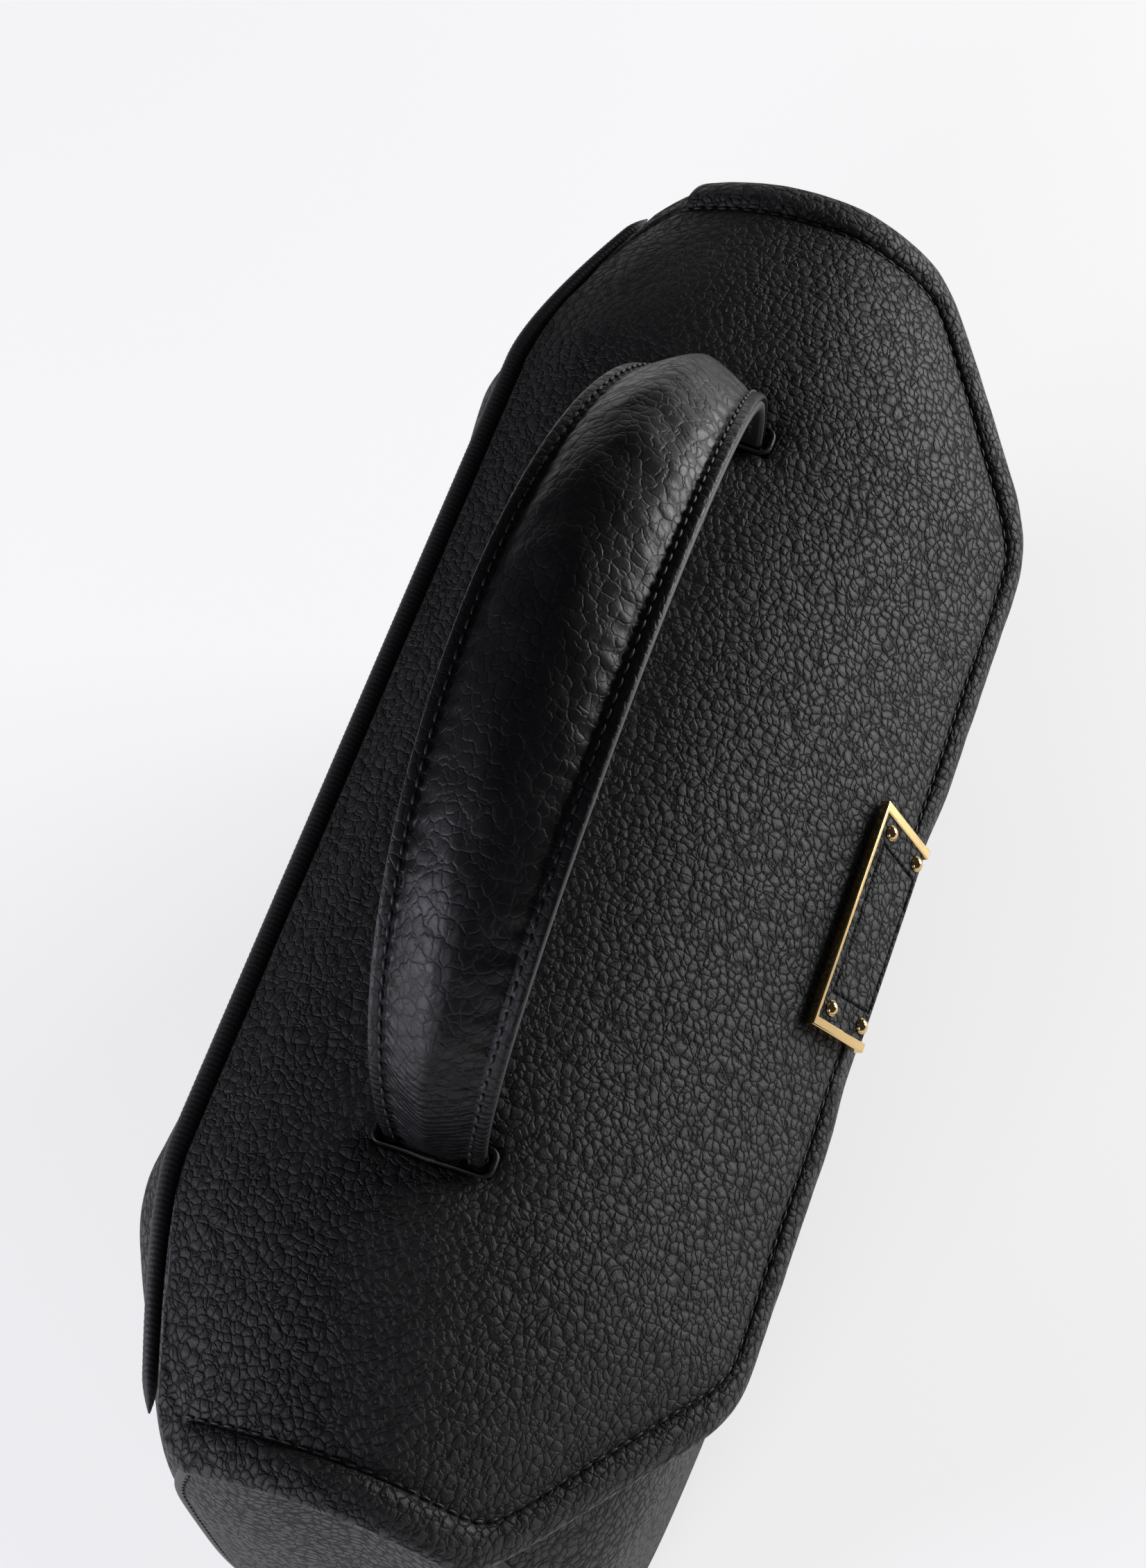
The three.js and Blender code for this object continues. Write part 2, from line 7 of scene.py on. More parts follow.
import bmesh
import bpy
import numpy as np
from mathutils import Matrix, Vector


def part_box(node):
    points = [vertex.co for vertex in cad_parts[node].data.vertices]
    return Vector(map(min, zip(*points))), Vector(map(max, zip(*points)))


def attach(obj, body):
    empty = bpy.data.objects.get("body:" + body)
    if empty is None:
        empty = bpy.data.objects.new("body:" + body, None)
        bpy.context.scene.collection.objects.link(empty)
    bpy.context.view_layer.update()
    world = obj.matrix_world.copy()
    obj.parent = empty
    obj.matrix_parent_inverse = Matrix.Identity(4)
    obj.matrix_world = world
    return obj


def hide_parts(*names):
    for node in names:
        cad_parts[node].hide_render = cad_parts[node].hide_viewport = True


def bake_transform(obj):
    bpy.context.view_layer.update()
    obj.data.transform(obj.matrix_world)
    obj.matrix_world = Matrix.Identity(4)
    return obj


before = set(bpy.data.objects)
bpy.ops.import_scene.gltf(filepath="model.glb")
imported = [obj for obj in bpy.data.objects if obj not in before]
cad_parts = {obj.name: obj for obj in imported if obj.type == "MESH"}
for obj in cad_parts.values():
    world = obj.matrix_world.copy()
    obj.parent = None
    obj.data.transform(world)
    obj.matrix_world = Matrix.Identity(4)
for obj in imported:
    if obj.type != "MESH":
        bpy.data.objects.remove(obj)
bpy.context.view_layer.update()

MM = 0.001

# ---- driving dimensions, shared with the frame -----------------------------
CORNER_POWER = 5
STRAIGHT_HALF = 96
PINCH_RATE = 0.0072
PINCH_EASE = 22
DROOP_START = 92
DROOP_DIVISOR = 420
WALL_THICKNESS = 2.6
LINING_INSET = 3.8
LINING_THICKNESS = 1.0
WALL_BOTTOM = 7
LINING_FLOOR = 10.2
RIM = 189
SOFT_TOP_START = 120
SEAM_ANGLE = 0.42
FLAP_HALF = 155
FLAP_FRONT_HALF = 100
FLAP_FLARE = 1.47
FLAP_BACK_CORNER = 12
SWING_AXIS = (4.85, 209.2)
HANDLE_HALF_SPAN = 84
HANDLE_RISE = 62
HANDLE_LEAN = math.radians(4)
HANDLE_END_HALF = 10.2
HANDLE_MID_HALF = 18.1
HANDLE_MARGIN = 3.6
HANDLE_TAIL = 17
PLAQUE_TOP_HALF = 26.6
PLAQUE_BOTTOM_HALF = 24.2
PLAQUE_HALF_HEIGHT = 8.4
PLAQUE_TILT = math.radians(49.3)
PLAQUE_CENTRE = (-59.0, 176.8)

# The padding and the slots hug the handle more closely here than in the plainer frame.
PUFF = (1.2, 7.6)                      # padding height at the ends and in the middle
SLOT_X = 85.1
SLOT_HALF = (2.7, 11.6)

FRONT_PROFILE = [(48, 7), (52, 25), (55, 60), (56.5, 100), (57, 138), (55.5, 150), (51.5, 161),
                 (45, 171.5), (36.5, 181), (26, 189)]
BACK_PROFILE = [(47, 7), (52.5, 25), (57, 60), (59.3, 100), (60.2, 140), (60.5, 165),
                (59.5, 178), (58, 184.5), (55, 189)]
END_PROFILE = [(138, 7), (143, 30), (147, 70), (150, 120), (150.5, 160), (148, 191)]
FLAP_PROFILE = [(51.7, 196.6), (40, 203), (22, 208.5), (5, 210), (-12, 208), (-30, 199.5),
                (-45, 187.5), (-55, 177), (-60.5, 170), (-62.6, 162)]


# ---- small maths -----------------------------------------------------------
def smooth_step(low, high, value):
    t = np.clip((value - low) / (high - low), 0, 1)
    return t * t * (3 - 2 * t)


def lens(value, power):
    return np.sign(value) * np.abs(value) ** power


def mix(a, b, t):
    return a + (b - a) * t


def bell(value, width):
    return np.exp(-((value / width) ** 2))


def ripple(*terms):
    """A fixed gentle unevenness: a sum of sines, each given as (value, wavelength, phase)."""
    return sum(np.sin(2 * math.pi * v / length + phase) for v, length, phase in terms) / len(terms)


def curve_through(points, steps=40):
    """Close points on the centripetal Catmull-Rom curve through the given points."""
    p = np.array(points, float)
    p = np.vstack([2 * p[0] - p[1], p, 2 * p[-1] - p[-2]])
    line = []
    for a, b, c, d in zip(p, p[1:], p[2:], p[3:]):
        knots = np.cumsum([0] + [np.linalg.norm(q - r) ** 0.5 for q, r in ((b, a), (c, b), (d, c))])
        t = np.linspace(knots[1], knots[2], steps, endpoint=False)[:, None]

        def between(p0, p1, t0, t1):
            return ((t1 - t) * p0 + (t - t0) * p1) / (t1 - t0)

        ab, bc, cd = (between(a, b, *knots[0:2]), between(b, c, *knots[1:3]),
                      between(c, d, *knots[2:4]))
        abc, bcd = between(ab, bc, knots[0], knots[2]), between(bc, cd, knots[1], knots[3])
        line.append(between(abc, bcd, knots[1], knots[2]))
    return np.vstack(line + [p[-2][None]])


def unit(vectors):
    return vectors / np.linalg.norm(vectors, axis=-1, keepdims=True)


def broadcast(*values):
    return np.broadcast_arrays(*(np.asarray(v, float) for v in values))


def lengths_along(line):
    return np.concatenate([[0], np.cumsum(np.linalg.norm(np.diff(line, axis=0), axis=1))])


front_line, back_line, end_line = (curve_through(p) for p in (FRONT_PROFILE, BACK_PROFILE,
                                                             END_PROFILE))
flap_line = curve_through(FLAP_PROFILE)
flap_arcs = lengths_along(flap_line)
FLAP_LENGTH = flap_arcs[-1]
SLOT_ARC = float(np.interp(-SWING_AXIS[0], -flap_line[:, 0], flap_arcs))


def pinch(x):
    past = np.maximum(0, np.abs(x) - STRAIGHT_HALF)
    return 1 - PINCH_RATE * past * past / (past + PINCH_EASE)


def droop(x):
    return np.maximum(0, np.abs(x) - DROOP_START) ** 2 / DROOP_DIVISOR


# ---- surfaces --------------------------------------------------------------
GUSSET_FOLD = 6.5                      # how far each end tucks in at the top
SAG = 0.8                              # unevenness of the soft walls
BACK_BULGE = 5.0                       # the back swells out beside the ends of its straight part
BULGE_X = 106


def body_point(angle, z, inset=0.0):
    """The body's outer skin, or inset from it, at plan angle and height: a soft lofted shell."""
    c, s = np.cos(angle), np.sin(angle)
    soft = smooth_step(SOFT_TOP_START, RIM, z)
    end = np.interp(z, end_line[:, 1], end_line[:, 0])
    front = np.interp(z, front_line[:, 1], front_line[:, 0])
    back = np.interp(z, back_line[:, 1], back_line[:, 0])
    x = lens(c, 2 / CORNER_POWER) * (end - inset)
    depth = np.where(s < 0, front, back)
    y = lens(s, 2 / CORNER_POWER) * (depth - inset) * mix(1, pinch(x), soft)
    loose = smooth_step(WALL_BOTTOM, 60, z) * (1 - smooth_step(165, RIM, z))
    sway = ripple((x, 131, 0.4), (x + 0.5 * z, 87, 1.9), (x - 0.8 * z, 64, 4.0)) * SAG * loose
    y = y - np.sign(s) * (SAG + sway) * np.abs(lens(s, 2 / CORNER_POWER)) * loose
    swell = bell(np.abs(x) - BULGE_X, 24) * smooth_step(105, 168, z)
    swell = swell * (1 - smooth_step(172, RIM, z))
    y = y + np.where(s > 0, BACK_BULGE * swell, 0) * np.abs(lens(s, 2 / CORNER_POWER))
    fold = bell(y, 15) * smooth_step(80, RIM, z) * GUSSET_FOLD
    x = x - np.sign(c) * fold * (np.abs(c) > 0.5)
    return np.stack([x, y, z - droop(x) * soft], -1)


def flap_half(arc):
    """Half length of the flap at an arc distance from its back edge."""
    from_front = FLAP_LENGTH - arc
    flare = FLAP_FRONT_HALF + FLAP_FLARE * from_front
    soft = FLAP_HALF - 6 * np.log1p(np.exp((FLAP_HALF - flare) / 6))
    back = np.clip(FLAP_BACK_CORNER - arc, 0, FLAP_BACK_CORNER)
    front = np.clip(5 - from_front, 0, 5)
    back_cut = FLAP_BACK_CORNER - np.sqrt(FLAP_BACK_CORNER ** 2 - back ** 2)
    return soft - back_cut - 1.6 * (5 - np.sqrt(25 - front ** 2))


def flap_point(x, arc, out=0.0):
    """The flap's outer face at x and arc distance, moved out along its normal."""
    x, arc, out = broadcast(x, arc, out)

    def at(px, pa):
        y = np.interp(pa, flap_arcs, flap_line[:, 0])
        z = np.interp(pa, flap_arcs, flap_line[:, 1])
        return np.stack([px, y * pinch(px), z - droop(px)], -1)

    step = 1.5
    low, high = np.maximum(arc - step, 0), np.minimum(arc + step, FLAP_LENGTH)
    normal = np.cross(at(x, high) - at(x, low), at(x + step, arc) - at(x - step, arc))
    normal = unit(normal)
    return at(x, arc) + normal * out[..., None]


def edge_distance(x, arc):
    """Distance in from the flap's side and front edges."""
    slope = (flap_half(arc + 1) - flap_half(arc - 1)) / 2
    side = (flap_half(arc) - np.abs(x)) / np.sqrt(1 + slope ** 2)
    return np.minimum(side, FLAP_LENGTH - arc)


def handle_place(turn, across, out):
    """A point of the handle: turn 0..pi round the arch, past its ends down the straight tails."""
    turn, across, out = broadcast(turn, across, out)
    inside = np.clip(turn, 0, math.pi)
    below = np.abs(turn - inside) * HANDLE_RISE
    x, z = HANDLE_HALF_SPAN * np.cos(inside), HANDLE_RISE * np.sin(inside) - below
    nx, nz = np.cos(inside) / HANDLE_HALF_SPAN, np.sin(inside) / HANDLE_RISE
    size = np.hypot(nx, nz)
    x, z = x + nx / size * out, z + nz / size * out
    lean_c, lean_s = math.cos(HANDLE_LEAN), math.sin(HANDLE_LEAN)
    return np.stack([x, SWING_AXIS[0] + across * lean_c + z * lean_s,
                     SWING_AXIS[1] - across * lean_s + z * lean_c], -1)


def handle_half(turn):
    return mix(HANDLE_END_HALF, HANDLE_MID_HALF, np.sin(np.clip(turn, 0, math.pi)) ** 1.09)


def handle_puff(turn):
    return mix(PUFF[0], PUFF[1], np.sin(np.clip(turn, 0, math.pi)) ** 0.8)


def plaque_point(x, up, out):
    """A point of the plaque's own frame: x along the bag, up the plate, out of its face."""
    x, up, out = broadcast(x, up, out)
    c, s = math.cos(PLAQUE_TILT), math.sin(PLAQUE_TILT)
    return np.stack([x, PLAQUE_CENTRE[0] + up * c - out * s,
                     PLAQUE_CENTRE[1] + up * s + out * c], -1)


# ---- mesh builders ---------------------------------------------------------
@contextlib.contextmanager
def editing(mesh):
    """The mesh opened for edits that are written back at the end."""
    opened = bmesh.new()
    opened.from_mesh(mesh)
    yield opened
    opened.to_mesh(mesh)
    opened.free()


def make_piece(name, points, faces, material, smooth=True, closed=True):
    """A mesh object from points in millimetres, faces turned outwards."""
    mesh = bpy.data.meshes.new(name)
    mesh.from_pydata((np.asarray(points) * MM).tolist(), [], faces)
    if closed:
        with editing(mesh) as opened:
            bmesh.ops.remove_doubles(opened, verts=opened.verts, dist=1e-7)
            bmesh.ops.recalc_face_normals(opened, faces=opened.faces)
    if smooth:
        mesh.shade_smooth()
    mesh.materials.append(material)
    obj = bpy.data.objects.new(name, mesh)
    bpy.context.scene.collection.objects.link(obj)
    return obj


def ring_loft(loops, ring=False):
    """Points and faces through equal closed loops; the ends are capped unless it is a ring."""
    loops = np.asarray(loops)
    rows, size = loops.shape[:2]
    faces = []
    for i in range(rows if ring else rows - 1):
        n = (i + 1) % rows
        faces += [(i * size + j, i * size + (j + 1) % size, n * size + (j + 1) % size, n * size + j)
                  for j in range(size)]
    points = loops.reshape(-1, 3)
    if not ring:
        faces += [tuple(range(size)), tuple((rows - 1) * size + j for j in range(size))]
    return points, faces


def slab(outer, inner):
    """Points and faces of a closed wall between two equal grids."""
    loops = np.concatenate([outer, inner[:, ::-1]], axis=1)
    rows, size = loops.shape[:2]
    width = outer.shape[1]
    faces = []
    for i in range(rows - 1):
        faces += [(i * size + j, i * size + (j + 1) % size, (i + 1) * size + (j + 1) % size,
                   (i + 1) * size + j) for j in range(size)]
    for row in (0, (rows - 1) * size):
        faces += [(row + j, row + j + 1, row + size - 2 - j, row + size - 1 - j)
                  for j in range(width - 1)]
    return loops.reshape(-1, 3), faces


def modifier(obj, kind, **settings):
    added = obj.modifiers.new(kind.lower(), kind)
    for key, value in settings.items():
        setattr(added, key, value)
    return added


def round_edges(obj, width, segments):
    modifier(obj, "BEVEL", width=width * MM, segments=segments, limit_method="ANGLE",
             angle_limit=math.radians(35), harden_normals=False)
    obj.data.shade_smooth()
    obj.data.set_sharp_from_angle(angle=math.radians(60))


def section_sweep(centres, across, outward, section):
    """Loops of a section of (across, out) offsets carried along a path."""
    section = np.asarray(section, float)
    return (centres[:, None] + across[:, None] * section[None, :, 0:1]
            + outward[:, None] * section[None, :, 1:2])


def circle(radius, count):
    turn = np.linspace(0, 2 * math.pi, count, endpoint=False)
    return np.stack([radius * np.cos(turn), radius * np.sin(turn)], -1)


# ---- node helper -----------------------------------------------------------
def add(tree, kind, inputs=None, **settings):
    """Adds a node: settings are its properties, inputs are values or (node, output) links."""
    node = tree.nodes.new(kind)
    for key, value in settings.items():
        setattr(node, key, value)
    for key, value in (inputs or {}).items():
        if isinstance(value, tuple) and isinstance(value[0], bpy.types.Node):
            tree.links.new(value[0].outputs[value[1]], node.inputs[key])
        else:
            node.inputs[key].default_value = value
    return node


def linear(hex_colour):
    """An sRGB hex colour as the linear RGBA that the shaders use."""
    parts = [int(hex_colour[i:i + 2], 16) / 255 for i in (1, 3, 5)]
    return [*(c / 12.92 if c <= 0.04045 else ((c + 0.055) / 1.055) ** 2.4 for c in parts), 1.0]


# ---- materials -------------------------------------------------------------
def per_mm(size):
    """The texture scale that gives cells of this size in millimetres."""
    return 1 / (size * MM)


def wave_scale(period):
    """The wave texture scale that sets its bands this far apart in millimetres."""
    return per_mm(period) * math.pi / 10


def new_material(name):
    material = bpy.data.materials.new(name)
    material.use_nodes = True
    tree = material.node_tree
    tree.nodes.clear()
    return material, tree


def finish_material(tree, colour, roughness, normal=None, **sockets):
    inputs = {"Base Color": colour, "Roughness": roughness}
    if normal:
        inputs["Normal"] = normal
    inputs.update({key.replace("_", " "): value for key, value in sockets.items()})
    shader = add(tree, "ShaderNodeBsdfPrincipled", inputs)
    add(tree, "ShaderNodeOutputMaterial", {"Surface": (shader, "BSDF")})


def pebbled_leather(name, dark, light, cell, depth, rough=(0.46, 0.66), shine=0.5, arcs=None):
    """Drum-tumbled full-grain calf: rounded pebbles a couple of millimetres wide parted by
    narrow creases, with fine wrinkles on them. The tops are rubbed a little glossier than the
    creases, which are matt; the creases are also painted darker in colour, as painted shade.
    Arcs (period, base, top, depth) are the fine level folds of a bend, which fade out upwards."""
    material, tree = new_material(name)
    where = add(tree, "ShaderNodeTexCoord")
    drift = add(tree, "ShaderNodeTexNoise", {"Vector": (where, "Object"), "Scale": per_mm(9),
                                             "Detail": 2.0})
    shift = add(tree, "ShaderNodeVectorMath", {0: (drift, "Color"), 1: (0.5, 0.5, 0.5)},
                operation="SUBTRACT")
    loose = add(tree, "ShaderNodeVectorMath", {0: (shift, "Vector"), 1: [4.2 * MM] * 3,
                                               2: (where, "Object")}, operation="MULTIPLY_ADD")
    kink = add(tree, "ShaderNodeTexNoise", {"Vector": (where, "Object"),
                                            "Scale": per_mm(cell * 0.8), "Detail": 2.0})
    bend = add(tree, "ShaderNodeVectorMath", {0: (kink, "Color"), 1: (0.5, 0.5, 0.5)},
               operation="SUBTRACT")
    warped = add(tree, "ShaderNodeVectorMath", {0: (bend, "Vector"), 1: [cell * 0.7 * MM] * 3,
                                                2: (loose, "Vector")}, operation="MULTIPLY_ADD")
    layout = {"Vector": (warped, "Vector"), "Scale": per_mm(cell), "Randomness": 0.85}
    middles = add(tree, "ShaderNodeTexVoronoi", dict(layout), feature="F1")
    edges = add(tree, "ShaderNodeTexVoronoi", dict(layout), feature="DISTANCE_TO_EDGE")
    split = add(tree, "ShaderNodeTexVoronoi", {"Vector": (warped, "Vector"),
                                               "Scale": per_mm(cell * 0.5)},
                feature="DISTANCE_TO_EDGE")
    fall = add(tree, "ShaderNodeMath", {0: (middles, "Distance"), 1: 2.0}, operation="POWER")
    crease = add(tree, "ShaderNodeMapRange", {"Value": (edges, "Distance"), 1: 0.0, 2: 0.13,
                                                      3: 0.35}, interpolation_type="SMOOTHSTEP")
    fold = add(tree, "ShaderNodeMapRange", {"Value": (split, "Distance"), 1: 0.0, 2: 0.15},
               interpolation_type="SMOOTHSTEP")
    pores = add(tree, "ShaderNodeTexNoise", {"Vector": (where, "Object"), "Scale": per_mm(0.8),
                                             "Detail": 4.0, "Roughness": 0.65})
    dome = add(tree, "ShaderNodeMath", {0: (fall, "Value"), 1: -1.6, 2: (crease, "Result")},
               operation="MULTIPLY_ADD")
    high = add(tree, "ShaderNodeMath", {0: (fold, "Result"), 1: 0.08, 2: (dome, "Value")},
               operation="MULTIPLY_ADD")
    height = add(tree, "ShaderNodeMath", {0: (pores, "Fac"), 1: 0.55, 2: (high, "Value")},
                 operation="MULTIPLY_ADD")
    if arcs:
        height = bend_folds(tree, where, height, *arcs)
    bump = add(tree, "ShaderNodeBump", {"Height": (height, "Value"), "Distance": depth * MM,
                                        "Strength": 1.0})
    uneven = add(tree, "ShaderNodeTexNoise", {"Vector": (where, "Object"), "Scale": per_mm(38),
                                              "Detail": 3.0})
    # Painted shade: the crease mask darkens the colour in the creases, on top of a random mottle.
    mottle_and_crease_shade = add(tree, "ShaderNodeMath", {0: (uneven, "Fac"), 1: 0.5, 2: (crease, "Result")},
               operation="MULTIPLY_ADD")
    share = add(tree, "ShaderNodeMapRange", {"Value": (mottle_and_crease_shade, "Value"), 1: 0.5, 2: 1.3})
    colour = add(tree, "ShaderNodeMix", {"Factor": (share, "Result"), 6: linear(dark),
                                         7: linear(light)}, data_type="RGBA")
    gloss = add(tree, "ShaderNodeMapRange", {"Value": (dome, "Value"), 1: 0.0, 2: 0.9,
                                             3: rough[1], 4: rough[0]})
    finish_material(tree, (colour, 2), (gloss, "Result"), (bump, "Normal"),
                    Specular_IOR_Level=shine)
    return material


def bend_folds(tree, where, height, period, base, top, deep):
    """Adds fine level folds to a height, full at the base and gone at the top."""
    folds = add(tree, "ShaderNodeTexWave", {"Vector": (where, "Object"),
                                            "Scale": wave_scale(period),
                                            "Distortion": 5.0, "Detail": 2.0,
                                            "Detail Scale": 0.35},
                wave_type="BANDS", bands_direction="Z")
    part = add(tree, "ShaderNodeSeparateXYZ", {0: (where, "Object")})
    fade = add(tree, "ShaderNodeMapRange", {"Value": (part, "Z"), 1: base * MM, 2: top * MM,
                                            3: deep, 4: 0.0})
    deepened = add(tree, "ShaderNodeMath", {0: (folds, "Fac"), 1: (fade, "Result"),
                                            2: (height, "Value")}, operation="MULTIPLY_ADD")
    return deepened


def smooth_leather(name, dark, light, rough, grain=0.9, depth=0.05):
    """Plain-grained calf: fine pores and hairline wrinkles under a satin finish."""
    material, tree = new_material(name)
    where = add(tree, "ShaderNodeTexCoord")
    grainy = add(tree, "ShaderNodeTexVoronoi", {"Vector": (where, "Object"),
                                                "Scale": per_mm(grain)}, feature="DISTANCE_TO_EDGE")
    fine = add(tree, "ShaderNodeTexNoise", {"Vector": (where, "Object"), "Scale": per_mm(0.5),
                                            "Detail": 4.0})
    height = add(tree, "ShaderNodeMath", {0: (grainy, "Distance"), 1: 1.6, 2: (fine, "Fac")},
                 operation="MULTIPLY_ADD")
    bump = add(tree, "ShaderNodeBump", {"Height": (height, "Value"), "Distance": depth * MM})
    cloudy = add(tree, "ShaderNodeTexNoise", {"Vector": (where, "Object"), "Scale": per_mm(24),
                                              "Detail": 4.0})
    colour = add(tree, "ShaderNodeMix", {"Factor": (cloudy, "Fac"), 6: linear(dark),
                                         7: linear(light)}, data_type="RGBA")
    gloss = add(tree, "ShaderNodeMapRange", {"Value": (fine, "Fac"), 1: 0.3, 2: 0.7,
                                             3: rough - 0.07, 4: rough + 0.07})
    finish_material(tree, (colour, 2), (gloss, "Result"), (bump, "Normal"))
    return material


def twill_lining(name, dark, light, thread):
    """Cotton twill: diagonal ribs of warp threads. Real threads are 0.25 mm apart; they are
    drawn wider so that the weave shows."""
    material, tree = new_material(name)
    where = add(tree, "ShaderNodeTexCoord")
    waves = []
    for turn in (0.62, -0.95):
        turned = add(tree, "ShaderNodeMapping", {"Vector": (where, "Object"),
                                                 "Rotation": (0.4, turn, turn)})
        waves.append(add(tree, "ShaderNodeTexWave", {"Vector": (turned, "Vector"),
                                                     "Scale": wave_scale(thread),
                                                     "Distortion": 0.6, "Detail": 1.0}))
    height = add(tree, "ShaderNodeMath", {0: (waves[0], "Fac"), 1: (waves[1], "Fac")},
                 operation="MULTIPLY")
    bump = add(tree, "ShaderNodeBump", {"Height": (height, "Value"), "Distance": 0.12 * MM})
    colour = add(tree, "ShaderNodeMix", {"Factor": (height, "Value"), 6: linear(dark),
                                         7: linear(light)}, data_type="RGBA")
    finish_material(tree, (colour, 2), 0.86, (bump, "Normal"), Sheen_Weight=0.25)
    return material


def grey_board(name):
    """Bonded leather-fibre board: matt, mottled, with short flecks."""
    material, tree = new_material(name)
    where = add(tree, "ShaderNodeTexCoord")
    flecks = add(tree, "ShaderNodeTexNoise", {"Vector": (where, "Object"), "Scale": per_mm(1.2),
                                              "Detail": 6.0, "Roughness": 0.7})
    bump = add(tree, "ShaderNodeBump", {"Height": (flecks, "Fac"), "Distance": 0.1 * MM})
    colour = add(tree, "ShaderNodeMix", {"Factor": (flecks, "Fac"), 6: linear("#6b6255"),
                                         7: linear("#a39a88")}, data_type="RGBA")
    finish_material(tree, (colour, 2), 0.92, (bump, "Normal"))
    return material


def polished_metal(name, bright, dull, rough, polish=0.05):
    """Plated and polished zinc: a mirror with faint long polishing lines and thumbed patches."""
    material, tree = new_material(name)
    where = add(tree, "ShaderNodeTexCoord")
    lines = add(tree, "ShaderNodeMapping", {"Vector": (where, "Object"),
                                            "Scale": (1.0, 14.0, 14.0)})
    scratch = add(tree, "ShaderNodeTexNoise", {"Vector": (lines, "Vector"), "Scale": per_mm(3),
                                               "Detail": 4.0})
    patches = add(tree, "ShaderNodeTexNoise", {"Vector": (where, "Object"), "Scale": per_mm(7),
                                               "Detail": 2.0})
    bump = add(tree, "ShaderNodeBump", {"Height": (scratch, "Fac"), "Distance": 0.004 * MM,
                                        "Strength": 0.4})
    gloss = add(tree, "ShaderNodeMapRange", {"Value": (patches, "Fac"), 1: 0.3, 2: 0.7,
                                             3: rough, 4: rough + polish})
    colour = add(tree, "ShaderNodeMix", {"Factor": (patches, "Fac"), 6: linear(bright),
                                         7: linear(dull)}, data_type="RGBA")
    finish_material(tree, (colour, 2), (gloss, "Result"), (bump, "Normal"), Metallic=1.0)
    return material


def waxed_thread(name, dark, light):
    """Bonded polyester thread: twisted strands, drawn coarse, with a soft wax shine."""
    material, tree = new_material(name)
    where = add(tree, "ShaderNodeTexCoord")
    strands = add(tree, "ShaderNodeTexWave", {"Vector": (where, "Object"),
                                              "Scale": per_mm(0.35) / 20, "Distortion": 2.0},
                  bands_direction="DIAGONAL")
    bump = add(tree, "ShaderNodeBump", {"Height": (strands, "Fac"), "Distance": 0.05 * MM})
    colour = add(tree, "ShaderNodeMix", {"Factor": (strands, "Fac"), 6: linear(dark),
                                         7: linear(light)}, data_type="RGBA")
    finish_material(tree, (colour, 2), 0.5, (bump, "Normal"))
    return material


FLOOR_GLOW = 0.62


def studio_floor(name):
    """A white sweep lit from within as well as from above, so that it stays evenly pale."""
    material, tree = new_material(name)
    where = add(tree, "ShaderNodeTexCoord")
    fine = add(tree, "ShaderNodeTexNoise", {"Vector": (where, "Object"), "Scale": 3.0})
    colour = add(tree, "ShaderNodeMix", {"Factor": (fine, "Fac"), 6: linear("#e9e9e9"),
                                         7: linear("#ededed")}, data_type="RGBA")
    finish_material(tree, (colour, 2), 0.9, Emission_Color=linear("#ffffff"),
                    Emission_Strength=FLOOR_GLOW)
    return material


GRAIN = pebbled_leather("pebbled_calf_black", "#070707", "#29292a", cell=2.0, depth=0.34,
                        rough=(0.5, 0.75), shine=0.4)
GRAIN_HANDLE = pebbled_leather("pebbled_calf_handle", "#08080a", "#18181b", cell=2.7, depth=0.08,
                               rough=(0.36, 0.48), shine=0.3, arcs=(1.4, 218, 252, 1.6))
GRAIN_BODY = pebbled_leather("pebbled_calf_walls", "#070707", "#29292a", cell=2.0, depth=0.30,
                             rough=(0.52, 0.78), shine=0.4)
CALF = smooth_leather("plain_calf_black", "#0b0b0c", "#141415", rough=0.5)
# Painted light: the welt is the same black calf, coloured lighter grey so that it reads brighter
# where it lies in shade.
LIT_RIBBED_CALF = smooth_leather("gathered_calf_black_painted_lighter", "#1c1c1d", "#333335", rough=0.6)
# The edge paint is dark grey satin; its lighter grey colour is partly a painted reflection of the
# lights.
EDGE_PAINT_WITH_SHEEN = smooth_leather("edge_paint_with_painted_sheen", "#343436", "#404042", rough=0.42, grain=3.0,
                            depth=0.02)
LINING = twill_lining("cotton_twill_lining", "#2a2421", "#463d37", thread=1.1)
BOARD = grey_board("leather_fibre_board")
PALE_GOLD = polished_metal("polished_pale_gold_plate", "#dcc08d", "#c9a870", rough=0.12)
NICKEL = polished_metal("brushed_nickel_steel", "#b4b4b2", "#8f8f90", rough=0.24, polish=0.12)
THREAD = waxed_thread("waxed_black_thread", "#0a0a0b", "#2c2c2f")


# ---- geometry node trees ---------------------------------------------------
def named_inputs(tree, *inputs):
    tree.interface.new_socket("Geometry", in_out="INPUT", socket_type="NodeSocketGeometry")
    for label, value in inputs:
        socket = tree.interface.new_socket(label, in_out="INPUT", socket_type="NodeSocketFloat")
        socket.default_value = value
    tree.interface.new_socket("Geometry", in_out="OUTPUT", socket_type="NodeSocketGeometry")
    return add(tree, "NodeGroupInput")


def end_tree(tree, instances, material):
    real = add(tree, "GeometryNodeRealizeInstances", {"Geometry": instances})
    round_shade = add(tree, "GeometryNodeSetShadeSmooth", {"Geometry": (real, "Geometry")})
    coloured = add(tree, "GeometryNodeSetMaterial", {"Geometry": (round_shade, "Geometry"),
                                                     "Material": material})
    add(tree, "NodeGroupOutput", {0: (coloured, "Geometry")})


